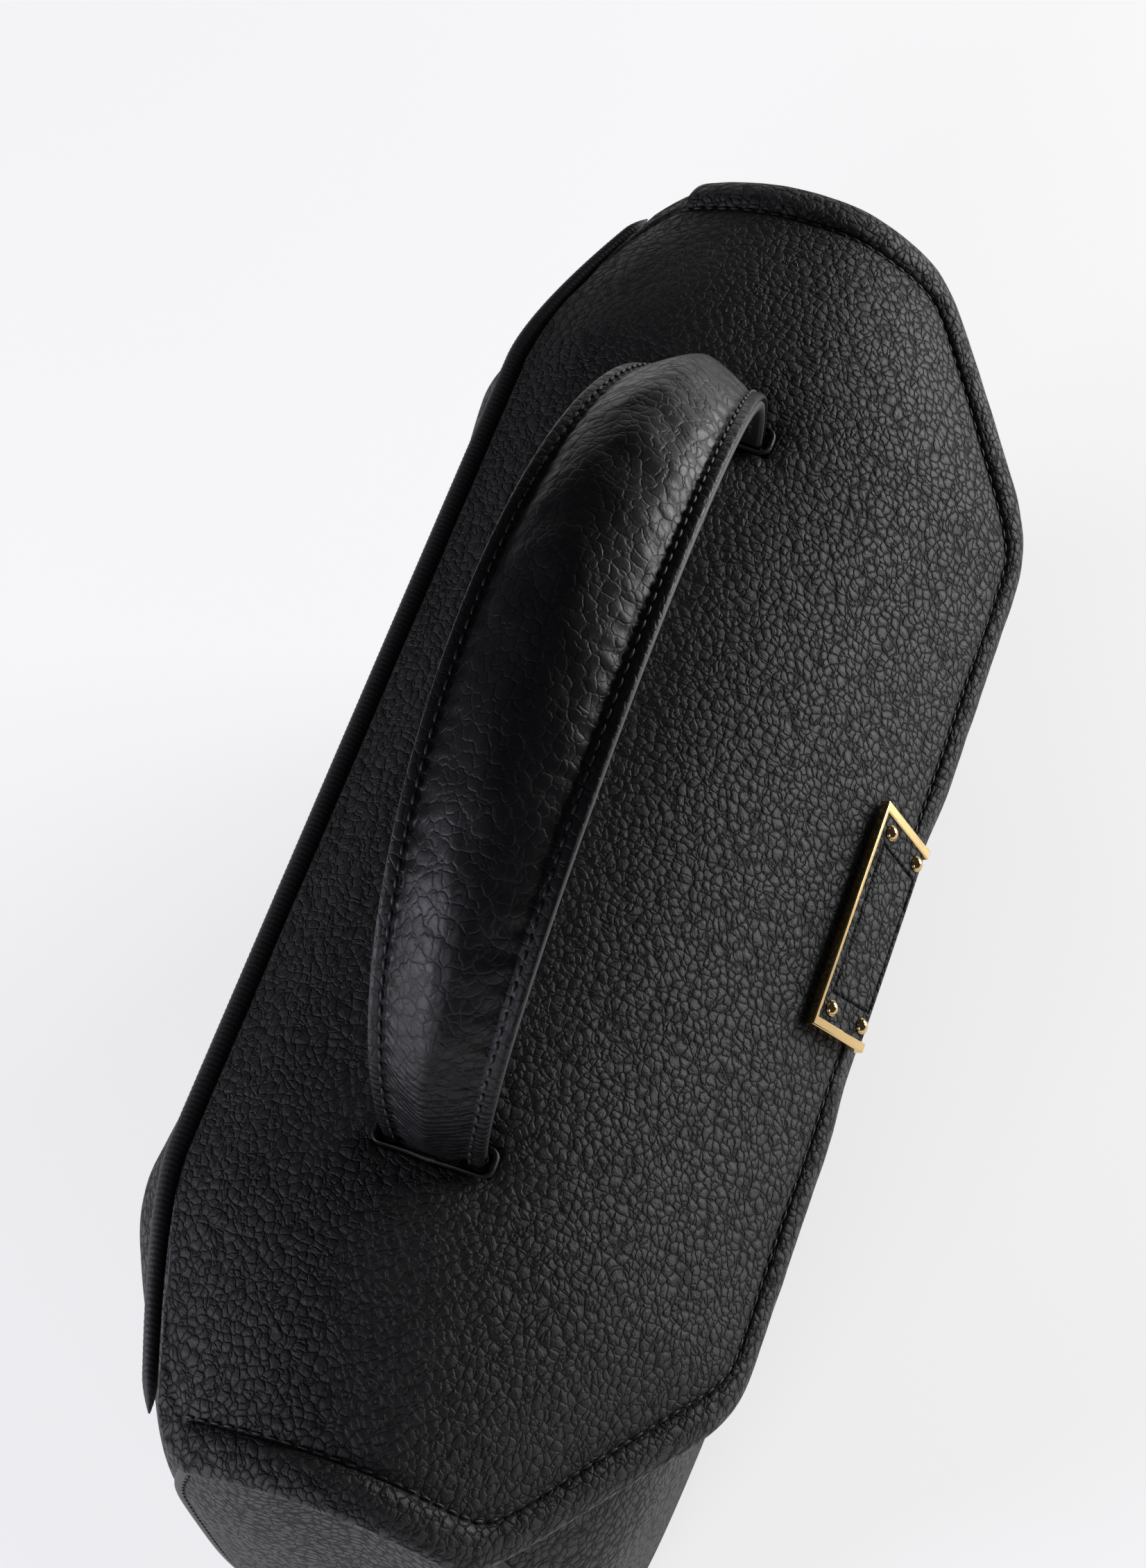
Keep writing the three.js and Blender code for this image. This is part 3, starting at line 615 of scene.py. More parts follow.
def stitch_tree(material):
    """Sewn stitches along a polyline: short plump threads a pitch apart, lying along it."""
    tree = bpy.data.node_groups.new("sewn_stitches", "GeometryNodeTree")
    given = named_inputs(tree, ("Pitch", 3.0 * MM), ("Stitch Length", 2.3 * MM),
                         ("Thread Thickness", 0.8 * MM))
    line = add(tree, "GeometryNodeMeshToCurve", {"Mesh": (given, "Geometry")})
    spaced = add(tree, "GeometryNodeResampleCurve", {"Curve": (line, "Curve"),
                                                     "Length": (given, "Pitch")}, mode="LENGTH")
    bead = add(tree, "GeometryNodeMeshUVSphere", {"Segments": 8, "Rings": 6, "Radius": 0.5})
    size = add(tree, "ShaderNodeCombineXYZ", {"X": (given, "Stitch Length"),
                                              "Y": (given, "Thread Thickness"),
                                              "Z": (given, "Thread Thickness")})
    heading = add(tree, "GeometryNodeInputTangent")
    turned = add(tree, "FunctionNodeAlignRotationToVector", {"Vector": (heading, "Tangent")},
                 axis="X")
    placed = add(tree, "GeometryNodeInstanceOnPoints", {
        "Points": (spaced, "Curve"), "Instance": (bead, "Mesh"), "Rotation": (turned, "Rotation"),
        "Scale": (size, "Vector")})
    end_tree(tree, (placed, "Instances"), material)
    return tree


def dome_tree(material):
    """Domed studs on points: a rounded head on a short collar, turned by the given tilt."""
    tree = bpy.data.node_groups.new("domed_studs", "GeometryNodeTree")
    given = named_inputs(tree, ("Radius", 1.5 * MM), ("Height", 1.1 * MM), ("Collar", 0.3 * MM),
                         ("Tilt", 0.0))
    ball = add(tree, "GeometryNodeMeshUVSphere", {"Segments": 28, "Rings": 16, "Radius": 1.0})
    size = add(tree, "ShaderNodeCombineXYZ", {"X": (given, "Radius"), "Y": (given, "Radius"),
                                              "Z": (given, "Height")})
    head = add(tree, "GeometryNodeTransform", {"Geometry": (ball, "Mesh"),
                                               "Scale": (size, "Vector")})
    wide = add(tree, "ShaderNodeMath", {0: (given, "Radius"), 1: 1.12}, operation="MULTIPLY")
    collar = add(tree, "GeometryNodeMeshCylinder", {"Vertices": 28, "Radius": (wide, "Value"),
                                                    "Depth": (given, "Collar")})
    stud = add(tree, "GeometryNodeJoinGeometry")
    tree.links.new(head.outputs["Geometry"], stud.inputs[0])
    tree.links.new(collar.outputs["Mesh"], stud.inputs[0])
    turn = add(tree, "ShaderNodeCombineXYZ", {"X": (given, "Tilt")})
    placed = add(tree, "GeometryNodeInstanceOnPoints", {
        "Points": (given, "Geometry"), "Instance": (stud, "Geometry"),
        "Rotation": (turn, "Vector")})
    end_tree(tree, (placed, "Instances"), material)
    return tree


def grow(name, tree, points, edges=(), **inputs):
    """Runs a tree on bare points or polylines, in millimetres, and keeps the plain mesh."""
    seed = bpy.data.meshes.new(name + "_seed")
    seed.from_pydata((np.asarray(points) * MM).tolist(), edges, [])
    obj = bpy.data.objects.new(name, seed)
    bpy.context.scene.collection.objects.link(obj)
    nodes = obj.modifiers.new("grow", "NODES")
    nodes.node_group = tree
    for item in tree.interface.items_tree:
        if item.in_out == "INPUT" and item.name in inputs:
            nodes[item.identifier] = inputs[item.name]
    made = bpy.data.meshes.new_from_object(
        obj.evaluated_get(bpy.context.evaluated_depsgraph_get()))
    obj.modifiers.remove(nodes)
    obj.data = made
    return obj


def polyline(*lines):
    """Points and edges of open lines of points."""
    points, edges = [], []
    for line in lines:
        edges += [(len(points) + i, len(points) + i + 1) for i in range(len(line) - 1)]
        points += list(line)
    return np.array(points), edges


STITCHES = stitch_tree(THREAD)
STUDS = dome_tree(PALE_GOLD)


def stitches(name, body, pitch, length, thickness, *lines):
    points, edges = polyline(*lines)
    obj = grow(name, STITCHES, points, edges, **{"Pitch": pitch * MM, "Stitch Length": length * MM,
                                                 "Thread Thickness": thickness * MM})
    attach(obj, body)


# ---- body ------------------------------------------------------------------
def wall_levels(rows):
    return WALL_BOTTOM + (RIM - WALL_BOTTOM) * (np.arange(rows + 1) / rows) ** 0.9


def wall(name, node, start, end, columns):
    """A panel of the body: leather turned in at its seams, so that each seam is a valley."""
    angle, z = np.meshgrid(np.linspace(start, end, columns + 1), wall_levels(70))
    side = np.linspace(-1, 1, columns + 1)[None, :]
    outer = body_point(angle, z)
    along = np.linalg.norm(np.diff(outer, axis=1), axis=2).sum(1)[:, None] / 2
    from_seam = (1 - np.abs(side)) * along
    turned_in = 1.3 * np.exp(-from_seam / 1.8)
    outer = body_point(angle, z, turned_in)
    inner = body_point(angle, z, WALL_THICKNESS)
    obj = make_piece(name, *slab(outer, inner), GRAIN_BODY)
    obj.data.set_sharp_from_angle(angle=math.radians(50))
    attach(obj, "body")
    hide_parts(node)


def build_walls():
    wall("front_wall", "front_panel", math.pi + SEAM_ANGLE, 2 * math.pi - SEAM_ANGLE, 150)
    wall("back_wall", "back_panel", SEAM_ANGLE, math.pi - SEAM_ANGLE, 150)
    wall("gusset_wall_right", "gusset_right", -SEAM_ANGLE, SEAM_ANGLE, 64)
    wall("gusset_wall_left", "gusset_left", math.pi - SEAM_ANGLE, math.pi + SEAM_ANGLE, 64)


def seam_angles():
    return [SEAM_ANGLE, math.pi - SEAM_ANGLE, math.pi + SEAM_ANGLE, 2 * math.pi - SEAM_ANGLE]


def level_ring_tube(path, radius):
    """Loops of a round tube along a closed level path of points."""
    ahead = unit(np.roll(path, -1, 0) - np.roll(path, 1, 0))
    side = unit(np.cross(ahead, [0, 0, 1.0]))
    return section_sweep(path, side, np.cross(side, ahead), circle(radius, 12))


PIPING_RADIUS = 1.35


def build_piping():
    """Thin leather-covered cord sewn into the four upright seams and round the base."""
    z = np.linspace(WALL_BOTTOM + 0.5, RIM - 1.5, 90)
    for place, angle in zip(("back_right", "back_left", "front_left", "front_right"),
                            seam_angles()):
        path = body_point(np.full_like(z, angle), z, 0.35)
        # The section's side is square to the seam and to Y, so it doesn't twist on the way up.
        flat = unit(np.gradient(path, axis=0))
        side = unit(np.cross(flat, [0, 1.0, 0]))
        loops = section_sweep(path, side, np.cross(side, flat), circle(PIPING_RADIUS, 12))
        obj = make_piece(f"piping_{place}", *ring_loft(loops), CALF)
        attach(obj, "body")
    angle = np.linspace(0, 2 * math.pi, 260, endpoint=False)
    path = body_point(angle, np.full_like(angle, WALL_BOTTOM - 0.2), 0.5)
    loops = level_ring_tube(path, PIPING_RADIUS)
    obj = make_piece("piping_base", *ring_loft(loops, ring=True), CALF)
    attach(obj, "body")


def build_wall_stitches():
    z = np.linspace(WALL_BOTTOM + 6, RIM - 6, 120)
    lines = []
    for angle in seam_angles():
        for step in (-0.028, 0.028):
            lines.append(body_point(np.full_like(z, angle + step), z, -0.1))
    stitches("wall_stitches", "body", 3.2, 2.4, 0.6, *lines)


NEARLY_SHUT = 0.02                     # a last loop this small closes a flat face at its middle
FEET = ("foot_front_left", "foot_front_right", "foot_back_left", "foot_back_right",
        "foot_middle")
FOOT_BALL = 3.55                       # half height of a stud's ball, its top half in the base


def build_base():
    angle = np.linspace(0, 2 * math.pi, 220, endpoint=False)

    def level(inset, z, scale=1.0):
        ring = body_point(angle, np.full_like(angle, WALL_BOTTOM), inset) * scale
        return np.column_stack([ring[:, :2], np.full_like(angle, z)])

    rounds = [(8, 4.1), (2.6, 4.15), (1.1, 4.6), (0.6, 5.6), (0.9, 6.5), (2.2, 6.75)]
    loops = [level(20, 4.1, NEARLY_SHUT), *(level(*r) for r in rounds),
             level(20, 6.8, NEARLY_SHUT)]
    obj = make_piece("base_skin", *ring_loft(loops), GRAIN_BODY)
    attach(obj, "body")
    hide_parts("base_panel")

    centres = [(low + high) / 2 / MM for low, high in [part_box(name) for name in FEET]]
    points = [(c.x, c.y, FOOT_BALL) for c in centres]
    feet = grow("base_feet", STUDS, points, Radius=5.6 * MM, Height=FOOT_BALL * MM,
                Collar=0.5 * MM)
    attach(feet, "body")
    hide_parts("foot_front_left", "foot_front_right", "foot_back_left", "foot_back_right",
                "foot_middle")


def build_lining():
    """The cloth bag inside, hung from the mouth."""
    angle = np.linspace(0, 2 * math.pi, 200, endpoint=False)
    levels = np.concatenate([[LINING_FLOOR], wall_levels(46)[3:]])
    outer = [body_point(angle, np.full_like(angle, z), LINING_INSET) for z in levels]
    floor = LINING_FLOOR + LINING_THICKNESS
    inner = [body_point(angle, np.full_like(angle, max(z, floor)), LINING_INSET + LINING_THICKNESS)
             for z in levels[::-1]]
    shut = [NEARLY_SHUT, NEARLY_SHUT, 1]
    loops = [outer[0] * shut, *outer, *inner, inner[-1] * shut]
    obj = make_piece("lining", *ring_loft(loops), LINING)
    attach(obj, "body")
    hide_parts("lining_bag")


def build_binding():
    """Leather folded over the raw edge of the mouth and stitched through."""
    angle = np.linspace(math.pi - SEAM_ANGLE, 2 * math.pi + SEAM_ANGLE, 260)
    section = [(-0.9, -7.5), (-1.1, -4), (-1.2, 0.4), (-0.8, 1.5), (0.4, 2.3), (1.8, 2.6),
               (3.6, 2.4), (5.2, 1.6), (5.8, 0.4), (5.9, -4), (5.7, -7.5), (5.1, -7.4),
               (5.1, 0.2), (-0.3, 0.2), (-0.35, -7.4)]
    loops = [body_point(angle, np.full_like(angle, RIM + min(up, 0)), inset)
             + [0, 0, max(up, 0)] for inset, up in section]
    obj = make_piece("mouth_edge", *ring_loft(np.stack(loops, 1)), CALF)
    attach(obj, "body")
    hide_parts("mouth_binding")
    lines = [body_point(angle, np.full_like(angle, RIM - 5.6), inset)
             for inset in (-1.15, 5.9)]
    stitches("mouth_stitches", "body", 3.0, 2.2, 0.6, *lines)


WELT_CENTRE = (54.3, 193.5)
WELT_RADIUS = (2.1, 2.4)
RIB_PITCH = 1.15


def build_welt():
    """The rolled seam behind the flap, its leather drawn into fine ribs across it."""
    x = np.arange(-146, 146.1, RIB_PITCH / 5)
    rib = 1 - 0.035 * (0.5 + 0.5 * np.cos(2 * math.pi * x / RIB_PITCH + 0.8 * np.sin(x / 3.7)))
    end = smooth_step(146.5, 140, np.abs(x))
    turn = np.linspace(0, 2 * math.pi, 18, endpoint=False)
    scale = (rib * np.sqrt(np.maximum(end, 0.02)))[:, None]
    y = (WELT_CENTRE[0] + WELT_RADIUS[0] * np.cos(turn) * scale) * pinch(x)[:, None]
    z = WELT_CENTRE[1] + WELT_RADIUS[1] * np.sin(turn) * scale - droop(x)[:, None]
    loops = np.stack([np.broadcast_to(x[:, None], y.shape), y, z], -1)
    # The welt's lighter grey colour is painted light.
    obj = make_piece("back_roll", *ring_loft(loops), LIT_RIBBED_CALF)
    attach(obj, "body")
    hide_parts("back_welt")


def build_hinge():
    """The soft strip that joins the back wall to the flap, curved over at the hinge line."""
    line = curve_through([(51.3, 183), (51.5, 188), (51.2, 192.5), (48.5, 195.6), (44.5, 197.6),
                          (36, 201.6)], 12)
    x = np.linspace(-138, 138, 140)
    ahead = np.gradient(line, axis=0)
    normal = unit(np.stack([ahead[:, 1], -ahead[:, 0]], -1))

    def surface(offset):
        at = line + normal * offset
        y = at[:, 0][:, None] * pinch(x)[None]
        z = at[:, 1][:, None] - droop(x)[None]
        return np.stack([np.broadcast_to(x[None], y.shape), y, z], -1)

    obj = make_piece("hinge_strip", *slab(surface(0.45), surface(-0.45)), CALF)
    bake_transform(obj)


# ---- flap ------------------------------------------------------------------
BAND_WIDTH = 8.0                       # raised border along the flap's edges
BAND_HEIGHT = 1.75
SKIN_EDGE = 0.8                        # the skin ends this far inside the border's roll
UNDERSIDE_EDGE = 1.6                   # and the lining under it this far
EDGE_STEP = 1.6                        # spacing of the points along the flap's edge
RIM_GAP = 0.35                         # from a slot's opening to the middle of its rim
RIM_ROLL = 0.62                        # radius of a slot rim's roll


def slot_offset(x, arc):
    """Distance from the nearer handle slot's opening, and the angle round it."""
    dx, da = np.abs(x) - SLOT_X, arc - SLOT_ARC
    gap = np.hypot(np.maximum(np.abs(dx) - SLOT_HALF[0], 0),
                   np.maximum(np.abs(da) - SLOT_HALF[1], 0))
    return gap, np.arctan2(da, dx)


def flap_relief(x, arc):
    """How the flap's leather is pulled in and creased from its plain curve."""
    gap, angle = slot_offset(x, arc)
    pulled = -1.5 * np.exp(-gap / 5.5)
    star = 0.34 * np.cos(15 * angle + 1.3 * np.sin(2 * angle))
    star = star * np.exp(-gap / 6) * smooth_step(1.5, 5, gap)
    valley = -0.55 * bell(edge_distance(x, arc) - BAND_WIDTH - 0.5, 1.5)
    loose = 0.22 * ripple((x + 0.4 * arc, 58, 0.3), (arc, 41, 2.1), (x - arc, 33, 4.4))
    return pulled + star + valley + loose


def flap_grid(half, start, end, columns, rows, depth, relief):
    arc = np.linspace(start, end, rows + 1)[:, None]
    x = np.linspace(-1, 1, columns + 1)[None] * half(arc)
    arc = np.broadcast_to(arc, x.shape)
    out = flap_relief(x, arc) if relief else 0.0
    return x, arc, flap_point(x, arc, out - depth)


def cut_slots(faces, x, arc, room):
    """Faces of the sheet without those over the two handle slots and some room round them."""
    open_x, open_arc = SLOT_HALF[0] + room, SLOT_HALF[1] + room
    flat_x, flat_arc = x.ravel(), arc.ravel()

    def over_slot(face):
        mx = np.mean([flat_x[i] for i in face])
        ma = np.mean([flat_arc[i] for i in face])
        return abs(abs(mx) - SLOT_X) < open_x and abs(ma - SLOT_ARC) < open_arc

    return [f for f in faces if not over_slot(f)]


def grid_faces(rows, columns):
    """Quads over a grid that has this many rows and columns of cells."""
    wide = columns + 1
    return [(i * wide + j, i * wide + j + 1, (i + 1) * wide + j + 1, (i + 1) * wide + j)
            for i in range(rows) for j in range(columns)]


def sheet_piece(name, half, start, end, columns, rows, depth, thickness, material, relief, room):
    x, arc, points = flap_grid(half, start, end, columns, rows, depth, relief)
    faces = cut_slots(grid_faces(rows, columns), x, arc, room)
    obj = make_piece(name, points.reshape(-1, 3), faces, material, closed=False)
    with editing(obj.data) as opened:
        bmesh.ops.delete(opened, geom=[v for v in opened.verts if not v.link_faces],
                         context="VERTS")
        if any(face.normal.z < 0 and face.calc_center_median().z > 0.19
               for face in opened.faces):
            bmesh.ops.reverse_faces(opened, faces=opened.faces)
    modifier(obj, "SOLIDIFY", thickness=thickness * MM, offset=-1.0, use_quality_normals=True)
    return obj


def build_flap_sheets():
    skin = sheet_piece("flap_skin", lambda arc: flap_half(arc) - SKIN_EDGE, 0.5,
                       FLAP_LENGTH - SKIN_EDGE, 260, 120, 0.0, 2.0, GRAIN, True, RIM_GAP)
    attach(skin, "flap")
    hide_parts("flap_shell")
    under = sheet_piece("flap_underside", lambda arc: flap_half(arc) - UNDERSIDE_EDGE, 1.0,
                        FLAP_LENGTH - UNDERSIDE_EDGE, 150, 70, 4.4, 1.0, LINING, False, 2.0)
    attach(under, "flap")
    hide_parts("flap_lining")


def edge_path():
    """The flap's edge from its right back corner round the front to the left, as (x, arc),
    with the direction that points inwards across it."""
    first = FLAP_BACK_CORNER - 2
    arc = first + (FLAP_LENGTH - first) * np.linspace(0, 1, 600) ** 0.9
    side = np.stack([flap_half(arc), arc], -1)
    front = np.stack([np.linspace(side[-1, 0], 0, 80)[1:], np.full(79, FLAP_LENGTH)], -1)
    right = np.vstack([side, front])
    outline = np.vstack([right, right[-2::-1] * [-1, 1]])
    far = lengths_along(outline)
    even = np.linspace(0, far[-1], int(far[-1] / EDGE_STEP))
    path = np.stack([np.interp(even, far, outline[:, k]) for k in (0, 1)], -1)
    ahead = unit(np.gradient(path, axis=0))
    inward = np.stack([-ahead[:, 1], ahead[:, 0]], -1)
    kernel = np.hanning(13)
    kernel /= kernel.sum()
    padded = np.pad(inward, ((6, 6), (0, 0)), mode="edge")
    smooth = np.stack([np.convolve(padded[:, k], kernel, "valid") for k in (0, 1)], -1)
    return path, unit(smooth)


def along_edge(inset, out):
    path, inward = edge_path()
    at = path + inward * inset
    return flap_point(at[:, 0], at[:, 1], out)


def plaque_window(points):
    """How strongly the border is pressed flat under the plaque, from 0 to 1."""
    beside = 1 - smooth_step(PLAQUE_TOP_HALF + 1, PLAQUE_TOP_HALF + 16, np.abs(points[..., 0]))
    return beside * (points[..., 1] < 0)


def build_border():
    """The rolled band: pebbled leather wrapped round the flap's edge and stitched in a valley."""
    section = [(4.5, -6.0), (1.4, -6.05), (0.0, -5.5), (-0.8, -4.3), (-1.0, -2.6), (-0.9, -0.9),
               (-0.4, 0.45), (0.7, 1.25), (2.3, 1.65), (4.2, BAND_HEIGHT), (5.8, 1.6), (7.0, 1.15),
               (7.8, 0.4), (8.2, -0.35), (7.9, -0.7), (7.2, -0.4), (5.0, 0.05), (2.0, 0.1),
               (0.45, -0.2), (0.15, -1.2), (0.1, -3.0), (0.3, -4.5), (1.2, -5.1), (4.5, -5.2)]
    path, inward = edge_path()
    far = lengths_along(path)
    plump = 1 + 0.05 * ripple((far, 23, 0.5), (far, 13.7, 2.2), (far, 9.1, 1.0))
    pressed = plaque_window(flap_point(path[:, 0], path[:, 1]))
    loops = []
    for inset, out in section:
        at = path + inward * inset
        lift = np.where(out > 0, out * plump * (1 - 0.75 * pressed), out)
        loops.append(flap_point(at[:, 0], at[:, 1], lift))
    obj = make_piece("flap_band", *ring_loft(np.stack(loops, 1)), GRAIN)
    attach(obj, "flap")
    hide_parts("flap_border")
    valley = along_edge(BAND_WIDTH + 0.75, -0.35)
    beside = np.abs(valley[:, 0]) > PLAQUE_TOP_HALF + 1.5
    beside |= valley[:, 2] > PLAQUE_CENTRE[1] + 8
    runs = np.split(np.arange(len(valley)), np.flatnonzero(np.diff(beside.astype(int))) + 1)
    lines = [valley[r] for r in runs if beside[r[0]] and len(r) > 3]
    stitches("band_stitches", "flap", 3.1, 2.4, 0.65, *lines)


def rounded_ring(half_x, half_y, radius, steps=10):
    """A closed path of a rounded box, as (x, y)."""
    ring = []
    for quarter, (sx, sy) in enumerate([(1, 1), (-1, 1), (-1, -1), (1, -1)]):
        turn = (quarter + np.linspace(0, 1, steps)) * math.pi / 2
        ring += list(np.stack([sx * (half_x - radius) + radius * np.cos(turn),
                               sy * (half_y - radius) + radius * np.sin(turn)], -1))
    return np.array(ring)


def even_ring(ring, spacing):
    closed = np.vstack([ring, ring[:1]])
    far = lengths_along(closed)
    even = np.linspace(0, far[-1], int(far[-1] / spacing), endpoint=False)
    return np.stack([np.interp(even, far, closed[:, k]) for k in (0, 1)], -1)


def build_slot_rims():
    """Each handle slot is finished with a thin rolled leather rim that stands up round it."""
    for side, sign in (("right", 1), ("left", -1)):
        ring = even_ring(rounded_ring(SLOT_HALF[0] + RIM_GAP, SLOT_HALF[1] + RIM_GAP, 2.0), 0.8)
        angle = np.arctan2(ring[:, 1], ring[:, 0])
        wave = 0.12 * np.sin(5 * angle) + 0.08 * np.sin(9 * angle + 1)
        base = np.column_stack([sign * SLOT_X + ring[:, 0], SLOT_ARC + ring[:, 1]])
        out_dir = unit(ring)
        loops = []
        for across, out in circle(RIM_ROLL, 12):
            at = base + out_dir * across
            loops.append(flap_point(at[:, 0], at[:, 1], out * 1.2 + wave - 0.2))
        obj = make_piece(f"slot_roll_{side}", *ring_loft(np.stack(loops, 1), ring=True), CALF)
        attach(obj, "flap")
        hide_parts(f"slot_rim_{side}")


# ---- plaque ----------------------------------------------------------------
FRAME_BAR = (1.15, 2.2)                # widths of the top bar and of the two end bars
FRAME_DEPTH = 2.5
INLAY_TOP = -0.4                       # the inlay's leather sits just below the frame's face
GROOVE_INSET = (6.4, 1.9)              # from the inlay's ends and from its long sides


def plaque_half(up):
    return mix(PLAQUE_BOTTOM_HALF, PLAQUE_TOP_HALF, (up / PLAQUE_HALF_HEIGHT + 1) / 2)


def build_plaque_frame():
    """A cast bar along the top and both ends, with its edges eased."""
    low, high = -PLAQUE_HALF_HEIGHT, PLAQUE_HALF_HEIGHT
    inner = high - FRAME_BAR[0]
    half_low, half_high = plaque_half(low), plaque_half(high)
    end_low, end_high = half_low - FRAME_BAR[1], plaque_half(inner) - FRAME_BAR[1]
    outline = [(half_low, low), (half_high, high), (-half_high, high), (-half_low, low),
               (-end_low, low), (-end_high, inner), (end_high, inner), (end_low, low)]
    loops = [plaque_point(*np.array(outline).T, out) for out in (-FRAME_DEPTH, 0.0)]
    obj = make_piece("plaque_bars", *ring_loft(loops), PALE_GOLD)
    round_edges(obj, 0.32, 3)
    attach(obj, "flap")
    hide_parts("plaque_frame")


def build_plaque_inlay():
    """The leather inlay, pressed with one plain groove that follows its outline."""
    columns, rows = 190, 66
    top = PLAQUE_HALF_HEIGHT - FRAME_BAR[0] + 0.1
    up = np.linspace(-PLAQUE_HALF_HEIGHT, top, rows + 1)[:, None]
    x = np.linspace(-1, 1, columns + 1)[None] * (plaque_half(up) - FRAME_BAR[1] + 0.1)
    up = np.broadcast_to(up, x.shape)
    from_edge = np.minimum(plaque_half(up) - FRAME_BAR[1] - np.abs(x) - GROOVE_INSET[0],
                           PLAQUE_HALF_HEIGHT - 0.6 - np.abs(up + 0.5) - GROOVE_INSET[1])
    grooves = bell(from_edge, 0.28)
    crown = 0.30 * (1 - (np.abs(x) / 25) ** 4) * (1 - (np.abs(up) / 9.5) ** 4)
    rolled = 1.2 * bell(up + PLAQUE_HALF_HEIGHT, 0.7)
    face = plaque_point(x, up, INLAY_TOP + crown - 0.55 * grooves - rolled)
    back = plaque_point(x, up, -1.6)
    obj = make_piece("plaque_leather", *slab(face, back), GRAIN)
    obj.data.set_sharp_from_angle(angle=math.radians(50))
    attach(obj, "flap")
    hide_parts("plaque_inlay")


def build_plaque_rivets():
    spots = []
    for sign_up in (1, -1):
        for sign_x in (1, -1):
            up = sign_up * 5.0 - 0.6
            spots.append((sign_x * (plaque_half(up) - 5.2), up))
    for number, (x, up) in enumerate(spots, 1):
        spot = plaque_point(x, up, INLAY_TOP + 0.28)
        obj = grow(f"plaque_stud_{number}", STUDS, [spot], Radius=1.5 * MM, Height=1.15 * MM,
                   Collar=0.35 * MM, Tilt=PLAQUE_TILT)
        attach(obj, "flap")
        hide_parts(f"plaque_rivet_{number}")


# ---- handle ----------------------------------------------------------------
STRAP_HALF = 1.2
PAD_LOW = 1.35                         # underside of the cover, just above the strap
FLANGE = 1.15                          # thickness of the cover's flat edge
PAD_STEPS = 26                         # across the dome
PAD_STATIONS = 400                     # along the handle
PAD_FIRST = 5                          # points of the section before the dome's first
PAD_START = 0.86                       # the dome's height before it is blown up, as a share
PAD_PRESSURE = 4.0
PAD_FRAMES = 20                        # how long the cover is blown up
PAD_SHARE = 0.6                        # a firm filling takes up this much of the swelling
PAD_CAP = 1.2                          # no point of the pad moves further than this
PAD_EVEN = 8                           # stations each way over which the filling evens it out
SEAM_IN = HANDLE_MARGIN - 0.95         # from the handle's edge in to its line of stitches


def strap_section(half):
    """A flat strap with rounded, painted edges."""
    edge = 0.9
    return [(-half + edge, -STRAP_HALF), (0, -STRAP_HALF), (half - edge, -STRAP_HALF),
            (half - 0.25, -0.8), (half, 0), (half - 0.25, 0.8), (half - edge, STRAP_HALF),
            (0, STRAP_HALF), (-half + edge, STRAP_HALF), (-half + 0.25, 0.8), (-half, 0),
            (-half + 0.25, -0.8)]


def build_strap():
    tail = HANDLE_TAIL / HANDLE_RISE
    turn = np.linspace(-tail, math.pi + tail, 190)
    loops = []
    for t in turn:
        section = np.array(strap_section(float(handle_half(t))))
        loops.append(handle_place(t, section[:, 0], section[:, 1]))
    obj = make_piece("handle_band", *ring_loft(loops), CALF)
    # The side faces take the edge paint, whose grey colour is partly painted reflection.
    obj.data.materials.append(EDGE_PAINT_WITH_SHEEN)
    for face in obj.data.polygons:
        if face.index < (len(turn) - 1) * 12 and face.index % 12 in (2, 3, 4, 5, 8, 9, 10, 11):
            face.material_index = 1
    obj.data.set_sharp_from_angle(angle=math.radians(60))
    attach(obj, "handle")
    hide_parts("handle_strap")


def pad_section(half, puff):
    """The cover's section: flat edge, sewn valley, dome, valley, flat edge, and underneath."""
    pad = half - HANDLE_MARGIN
    top = PAD_LOW + FLANGE
    v = np.linspace(-1, 1, PAD_STEPS + 1)
    dome = np.stack([v * pad, top - 0.45 + puff * (1 - v * v) ** 0.7], -1)
    left = [(-half, PAD_LOW + 0.1), (-half, PAD_LOW + 0.7), (-half + 0.5, top),
            (-half + 1.7, top + 0.1), (-pad - 0.7, top - 0.25)]
    right = [(-a, o) for a, o in left[::-1]]
    under = [(a * half, PAD_LOW) for a in (0.97, 0.5, 0.0, -0.5, -0.97)]
    return np.array(left + list(dome) + right + under)


def pad_points():
    turn = np.linspace(-0.045, math.pi + 0.045, PAD_STATIONS)
    sections = [pad_section(float(handle_half(t)), float(handle_puff(t)) * PAD_START)
                for t in turn]
    return turn, np.stack([handle_place(t, s[:, 0], s[:, 1]) for t, s in zip(turn, sections)])


def inflate(obj, held):
    """Blows the cover up over its stuffing: cloth with its sewn edges held."""
    group = obj.vertex_groups.new(name="sewn")
    group.add([int(i) for i in held], 1.0, "REPLACE")
    cloth = modifier(obj, "CLOTH")
    settings = cloth.settings
    settings.quality = 6
    settings.mass = 0.3
    settings.tension_stiffness = settings.compression_stiffness = 18
    settings.bending_stiffness = 0.8
    settings.use_pressure = True
    settings.uniform_pressure_force = PAD_PRESSURE
    settings.shrink_min = -0.05
    settings.vertex_group_mass = "sewn"
    settings.effector_weights.gravity = 0
    cloth.collision_settings.use_collision = False
    scene = bpy.context.scene
    for number in range(1, PAD_FRAMES + 1):
        scene.frame_set(number)
    blown = obj.evaluated_get(bpy.context.evaluated_depsgraph_get())
    moved = np.array([v.co[:] for v in blown.data.vertices]) / MM
    obj.modifiers.remove(cloth)
    scene.frame_set(1)
    return moved


